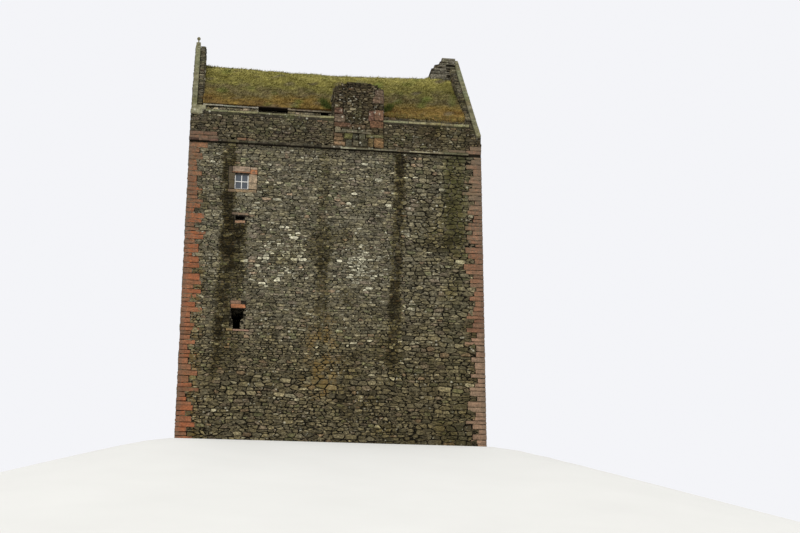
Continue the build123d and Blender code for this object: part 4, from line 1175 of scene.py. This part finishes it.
# Broken stacks on the ridge. Flat slabs laid nearly dry, in courses that step back where the stack has
# fallen.
ridge = 18.05
stub_heights = ridge + 1.01 * np.array([-0.6, 0.1, 0.43, 0.46, 0.62, 0.67, 0.8, 0.83, 0.999])
stub_edges = 4.69 + 1.16 * np.array([0.0, 0.0, 0.03, 0.12, 0.16, 0.33, 0.37, 0.44, 0.47])
for name, side, top in (("right_ridge_slabs", 1, 19.06), ("left_ridge_slabs", -1, 18.76)):
    rng = np.random.default_rng(104 + side)
    rows = []
    z = 17.42
    while z < top - 0.03:
        rise = min(rng.uniform(0.06, 0.13), top - z)
        left, right = -5.845, -5.6
        if side > 0:
            left, right = float(np.interp(z + rise, stub_heights, stub_edges)), 5.845
        n = max(1, round((right - left) / 0.42))
        cuts = np.linspace(left, right, n + 1) + np.concatenate([[0], rng.uniform(-0.08, 0.08, n - 1), [0]])
        for x0, x1 in zip(cuts, cuts[1:]):
            for y0, y1 in ((-0.455, -0.01), (0.01, 0.455)):
                push = rng.uniform(-0.03, 0.02, 2)
                ends = y0 + push[0] * (y0 < -0.1), y1 + push[1] * (y1 > 0.1)
                start = x0 + 0.006 + rng.uniform(-0.02, 0.02) * (x0 == left)
                rows.append((start, x1 - 0.004, *ends, z + 0.004, z + rise - 0.006))
        z += rise
    points = placed(boxed(rows, 0.016, 105, 0.008), (0, 0, 0), (1, 0, 0), (0, 1, 0))
    tints = np.array([0.2, 0.19, 0.15]) * rng.uniform(0.45, 1.35, (len(rows), 1))
    squared_piece(name, points, tints, rubble_stone, "rubble")

# Turf roof. Thick sods laid on the stone vault and grown together: hummocky, sagging along the ridge,
# yellow-green near the top, brown and bare in the middle, and hanging in an ochre fringe over the eaves.
eaves_y, grass_end = 3.79, 5.58


def rolling(a, b, seed, size):
    """Smooth random waves between about -1 and 1: the sum of seven sines of different directions, with
    lengths round size, times 0.7 / sqrt(7)."""
    count = 7
    rng = np.random.default_rng(seed)
    total = np.zeros(np.broadcast(a, b).shape)
    for _ in range(count):
        turn, wave, phase = rng.uniform(0, 2 * np.pi), size * rng.uniform(0.6, 1.6), rng.uniform(0, 2 * np.pi)
        total = total + np.sin((a * np.cos(turn) + b * np.sin(turn)) * 2 * np.pi / wave + phase)
    return total / np.sqrt(count) * 0.7


def turf_surface(x, s):
    """Place of the turf's upper face at x and s, with s from -1 at the front eaves over 0 at the ridge to 1
    at the back eaves. The plain slope is (3.78 s, 18.05 - 3.45 |s|), rounded at the ridge and at the eaves,
    sagging by a curve along x, heaped at the right end of the ridge, and raised by waves of three sizes."""
    slope = np.abs(s)
    y = roof_half * s
    z = ridge - roof_rise * np.sqrt(slope**2 + 0.0016) + roof_rise * 0.02
    stops = (-5.6, -5.3, -4.0, -1.7, 0.6, 1.5, 2.4, 4.0, 4.9, 5.6)
    sag = np.interp(x, stops, (0.09, 0.07, 0.06, 0.0, -0.01, 0.04, 0.06, 0.12, 0.14, 0.12))
    hummock = 0.04 * rolling(x, y, 3, 1.7) + 0.025 * rolling(x, y, 4, 0.6) + 0.01 * rolling(x, y, 5, 0.2)
    lift = hummock * np.clip((1.0 - slope) * 8, 0.35, 1.0) * np.clip(0.35 + 4 * slope, 0, 1)
    edge = 0.1 * np.clip((slope - 0.95) / 0.05, 0, 1) ** 2
    heap = 0.15 * np.interp(x, (4.4, 4.75), (0.0, 1.0)) * np.interp(slope, (0.0, 0.17, 0.4), (1.0, 1.0, 0.0))
    z = z + 0.68 * lift + sag * (1 - slope) + heap - edge
    return np.stack([x, y + np.sign(s) * 0.65 * lift, z], axis=-1)


turf_stops = (0.0, 0.3, 0.5, 0.66, 0.8, 0.92, 1.05)
turf_bands = np.array(
    [
        *((0.23, 0.208, 0.062), (0.17, 0.15, 0.038), (0.135, 0.12, 0.032), (0.105, 0.085, 0.036)),
        *((0.12, 0.092, 0.028), (0.14, 0.092, 0.022), (0.1, 0.062, 0.018)),
    ]
)


def turf_tint(x, s, seed):
    """Colour of the grass: bands of yellow-green, brown and ochre down the slope, pushed up and down by
    waves, with green and bare patches. To the right it is darker on the slope, and lighter at the ridge and
    the eaves."""
    slope = np.abs(s) + 0.09 * rolling(x, 4 * s, 6, 2.2) + 0.05 * rolling(x, 4 * s, 7, 0.5)
    colour = np.stack([np.interp(slope, turf_stops, turf_bands[:, k]) for k in range(3)], axis=-1)
    green = np.clip(rolling(x, 4 * s, 8, 1.3) - 0.45, 0, 1)[..., None]
    bare = np.clip(rolling(x, 4 * s, 9, 0.8) - 0.5, 0, 1)[..., None]
    colour = colour * (1 - green) + green * np.array([0.09, 0.11, 0.02])
    colour = colour * (1 - 0.8 * bare) + 0.8 * bare * np.array([0.1, 0.08, 0.055])
    rng = np.random.default_rng(seed)
    drop = np.abs(s)
    far = np.interp(x, (1.5, 3.0, 3.6, 4.4), (0.0, 0.22, 0.22, 0.12)) * np.clip((drop - 0.15) / 0.15, 0, 1)
    far = far - 0.1 * np.interp(x, (1.0, 2.5), (0.0, 1.0)) * np.clip((0.3 - drop) / 0.15, 0, 1)
    far = far - np.interp(x, (1.5, 3.5, 4.6), (0.0, 0.1, 0.26)) * np.clip((drop - 0.72) / 0.15, 0, 1)
    return 1.12 * colour * (1 - far)[..., None] * rng.uniform(0.78, 1.22, colour.shape[:-1] + (1,))


grass, place = shader("grass")
mottle = ramp(noise(stretched(place, 0.4, 1.0, 1.0), 7.0, 6.0, 0.7), 0.3, 0.7, 0.6, 1.4)
finish(dimmed(own_tint(place), mottle), 0.95, 0.12, (noise(place, 25.0, 5.0, 0.7), 0.8, 0.03))

across_count, slope_count = 190, 130
grid = np.meshgrid(np.linspace(-5.6, 5.6, across_count), np.linspace(-1.0, 1.0, slope_count), indexing="ij")
under_y = np.array([eaves_y, eaves_y, 3.56, 1.8, 0.0, -1.8, -3.56, -eaves_y, -eaves_y])
under_z = np.array([14.54, 14.495, 14.495, 16.12, 17.75, 16.12, 14.495, 14.495, 14.54])
under = np.stack(np.broadcast_arrays(grid[0][:, :1], under_y, under_z), axis=-1)
ring = np.concatenate([turf_surface(*grid), under], axis=1)
ring_count = slope_count + len(under_y)
skin = grid_faces(across_count, ring_count, True)
cap = np.arange(ring_count)
loops = np.concatenate([skin.ravel(), cap, (across_count - 1) * ring_count + cap[::-1]])
counts = np.append(np.full(len(skin), 4), [ring_count, ring_count])
tints = np.full((across_count, ring_count, 3), (0.05, 0.035, 0.02))
tints[:, :slope_count] = turf_tint(*grid, 110)
sod = piece("turf", ring.reshape(-1, 3), loops, counts, tints.reshape(-1, 3), grass, "turf", True)
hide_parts("turf_roof")
dress(grass, "turf_roof")


def blades(base, way, width, tints):
    """Grass blades, each a thin pyramid on three points round its base, with its tip at base + way. Returns
    points, corners, counts and tints."""
    n = len(base)
    turn = np.arange(3) * 2 * np.pi / 3
    flat = np.cross(way, np.array([0.3, 0.2, 1.0]))
    flat /= np.linalg.norm(flat, axis=1, keepdims=True)
    third = np.cross(way, flat)
    third /= np.linalg.norm(third, axis=1, keepdims=True)
    spread = flat[:, None] * np.cos(turn)[None, :, None] + 0.4 * third[:, None] * np.sin(turn)[None, :, None]
    points = np.concatenate([base[:, None] + width[:, None, None] * spread, (base + way)[:, None]], axis=1)
    loops = (np.arange(n)[:, None] * 4 + np.array([0, 1, 3, 1, 2, 3, 2, 0, 3, 0, 2, 1])).ravel()
    shade = np.array([0.68, 0.68, 0.68, 1.18])[None, :, None]
    return points.reshape(-1, 3), loops, np.full(4 * n, 3), (tints[:, None] * shade).reshape(-1, 3)


rng = np.random.default_rng(111)
for name, side, n in (("front_grass", -1, 17000), ("back_grass", 1, 9000)):
    x, s = rng.uniform(-grass_end, grass_end, n), side * rng.uniform(0.0, 1.0, n)
    base = turf_surface(x, s)
    clear = (np.abs(x - stack_middle) > 1.0) | (base[:, 1] > -3.65)
    x, s, base = x[clear], s[clear], base[clear]
    n = len(x)
    tall = rng.uniform(0.04, 0.12, n) * (1 + 0.5 * np.clip(rolling(x, 4 * s, 12, 0.9), 0, 1))
    lean = rng.normal(0, 0.6, n)
    way = np.stack([lean + 0.8, side * rng.uniform(0.1, 1.0, n), rng.uniform(0.15, 1.0, n)], axis=1)
    way *= (tall / np.linalg.norm(way, axis=1))[:, None]
    colour = turf_tint(x, s, 112) * np.where(rng.random(n) < 0.2, 1.3, 1.0)[:, None]
    colour = colour * rng.uniform(0.8, 1.25, (n, 1))
    piece(name, *blades(base, way, rng.uniform(0.006, 0.013, n), colour), grass, "turf")

# Fringe over the eaves, thicker and paler to the right, and tufts that have seeded beside the stack, on its
# top, in the corners and on the ruined stonework.
fringe = []
for side, left, n in ((-1, -grass_end, 5000), (1, -grass_end, 3000), (-1, 1.95, 1800)):
    x = rng.uniform(left, grass_end, n)
    x = x[((np.abs(x - stack_middle) > 1.04) & (np.abs(x - garret_door) > 0.72)) | (side > 0)]
    n = len(x)
    drop = np.full(n, 0.1)
    if side < 0:
        drop = np.interp(x, (-5.6, -3.0, 0.0, 2.0, 5.6), (0.02, 0.05, 0.08, 0.2, 0.3))
    root = 14.51 + rng.uniform(-0.3, 1.0, n) * np.minimum(drop, 0.1)
    base = np.stack([x, np.full(n, side * eaves_y), root], axis=1)
    sway, lean = rng.normal(0, 0.04, n), side * rng.uniform(0.02, 0.08, n)
    way = np.stack([sway, lean, rng.uniform(-1.0, 0.3, n) * drop], axis=1)
    hue = np.where((x > 1.0) & (side < 0), [[0.41], [0.3], [0.1]], [[0.17], [0.1], [0.025]]).T
    colour = hue * rng.uniform(0.4, 1.6, (n, 1)) * rng.uniform(0.85, 1.15, (n, 3))
    fringe.append(blades(base, way, rng.uniform(0.006, 0.014, n), colour))
on_stack_top = [
    *((0.45, -4.6, -0.06), (0.8, -4.75, 0), (1.15, -4.7, 0), (1.5, -4.6, -0.04)),
    *((0.9, -4.2, 0), (1.4, -4.1, 0), (0.5, -4.0, -0.03)),
]
on_stubs = ((-5.5, 17.86), (-5.3, 17.85), (4.55, 17.82), (4.7, 17.84))
tufts = [
    *((-0.25 - 0.1 * k, -3.72, 14.6 + 0.12 * k, 0.26, (0.07, 0.09, 0.02)) for k in range(4)),
    *((2.0 + 0.12 * k, -3.72, 14.62 + 0.1 * k, 0.26, (0.075, 0.09, 0.02)) for k in range(4)),
    *((x, y, 15.37 + z, 0.2, (0.16, 0.16, 0.07)) for x, y, z in on_stack_top),
    *((x, -0.35, z, 0.14, (0.16, 0.15, 0.05)) for x, z in on_stubs),
    *((x, -3.5, 14.85, 0.22, (0.17, 0.1, 0.03)) for x in (-5.5, -5.3, 5.3, 5.45)),
]
n = 170
for x, y, z, tall, colour in tufts:
    spread = rng.normal(0, 0.09, (n, 2))
    base = np.stack([x + spread[:, 0], y + spread[:, 1] * 0.8, z + rng.uniform(-0.06, 0.0, n)], axis=1)
    way = np.stack([rng.normal(0, 0.3, n), rng.normal(-0.1, 0.3, n), rng.uniform(0.6, 1.0, n)], axis=1)
    way *= tall * rng.uniform(0.4, 1.0, (n, 1))
    tints = np.array(colour) * rng.uniform(0.5, 1.7, (n, 1))
    fringe.append(blades(base, way, rng.uniform(0.005, 0.011, n), tints))
points, loops, counts, tints = zip(*fringe)
starts = np.cumsum([0] + [len(part) for part in points[:-1]])
loops = np.concatenate([part + start for part, start in zip(loops, starts)])
points, counts, tints = np.concatenate(points), np.concatenate(counts), np.concatenate(tints)
piece("fringe_and_tufts", points, loops, counts, tints, grass, "turf")

# Cellar floor. Flags of split stone, laid in bond straight on the ground and worn smooth. The vault over
# them keeps the mortar of the walls.
tones = (0.17, 0.16, 0.13), (0.24, 0.22, 0.18), (0.05, 0.045, 0.035)
flags, place, colour = laid_floor("worn_flags", tones, 0.012, 0.9, 0.6)
worn = ramp(noise(place, 4.0, 4.0), 0.3, 0.7, 0.7, 1.2)
finish(dimmed(colour, worn), 0.8, relief=(worn, 0.4, 0.006))
dress(flags, "cellar_floor")
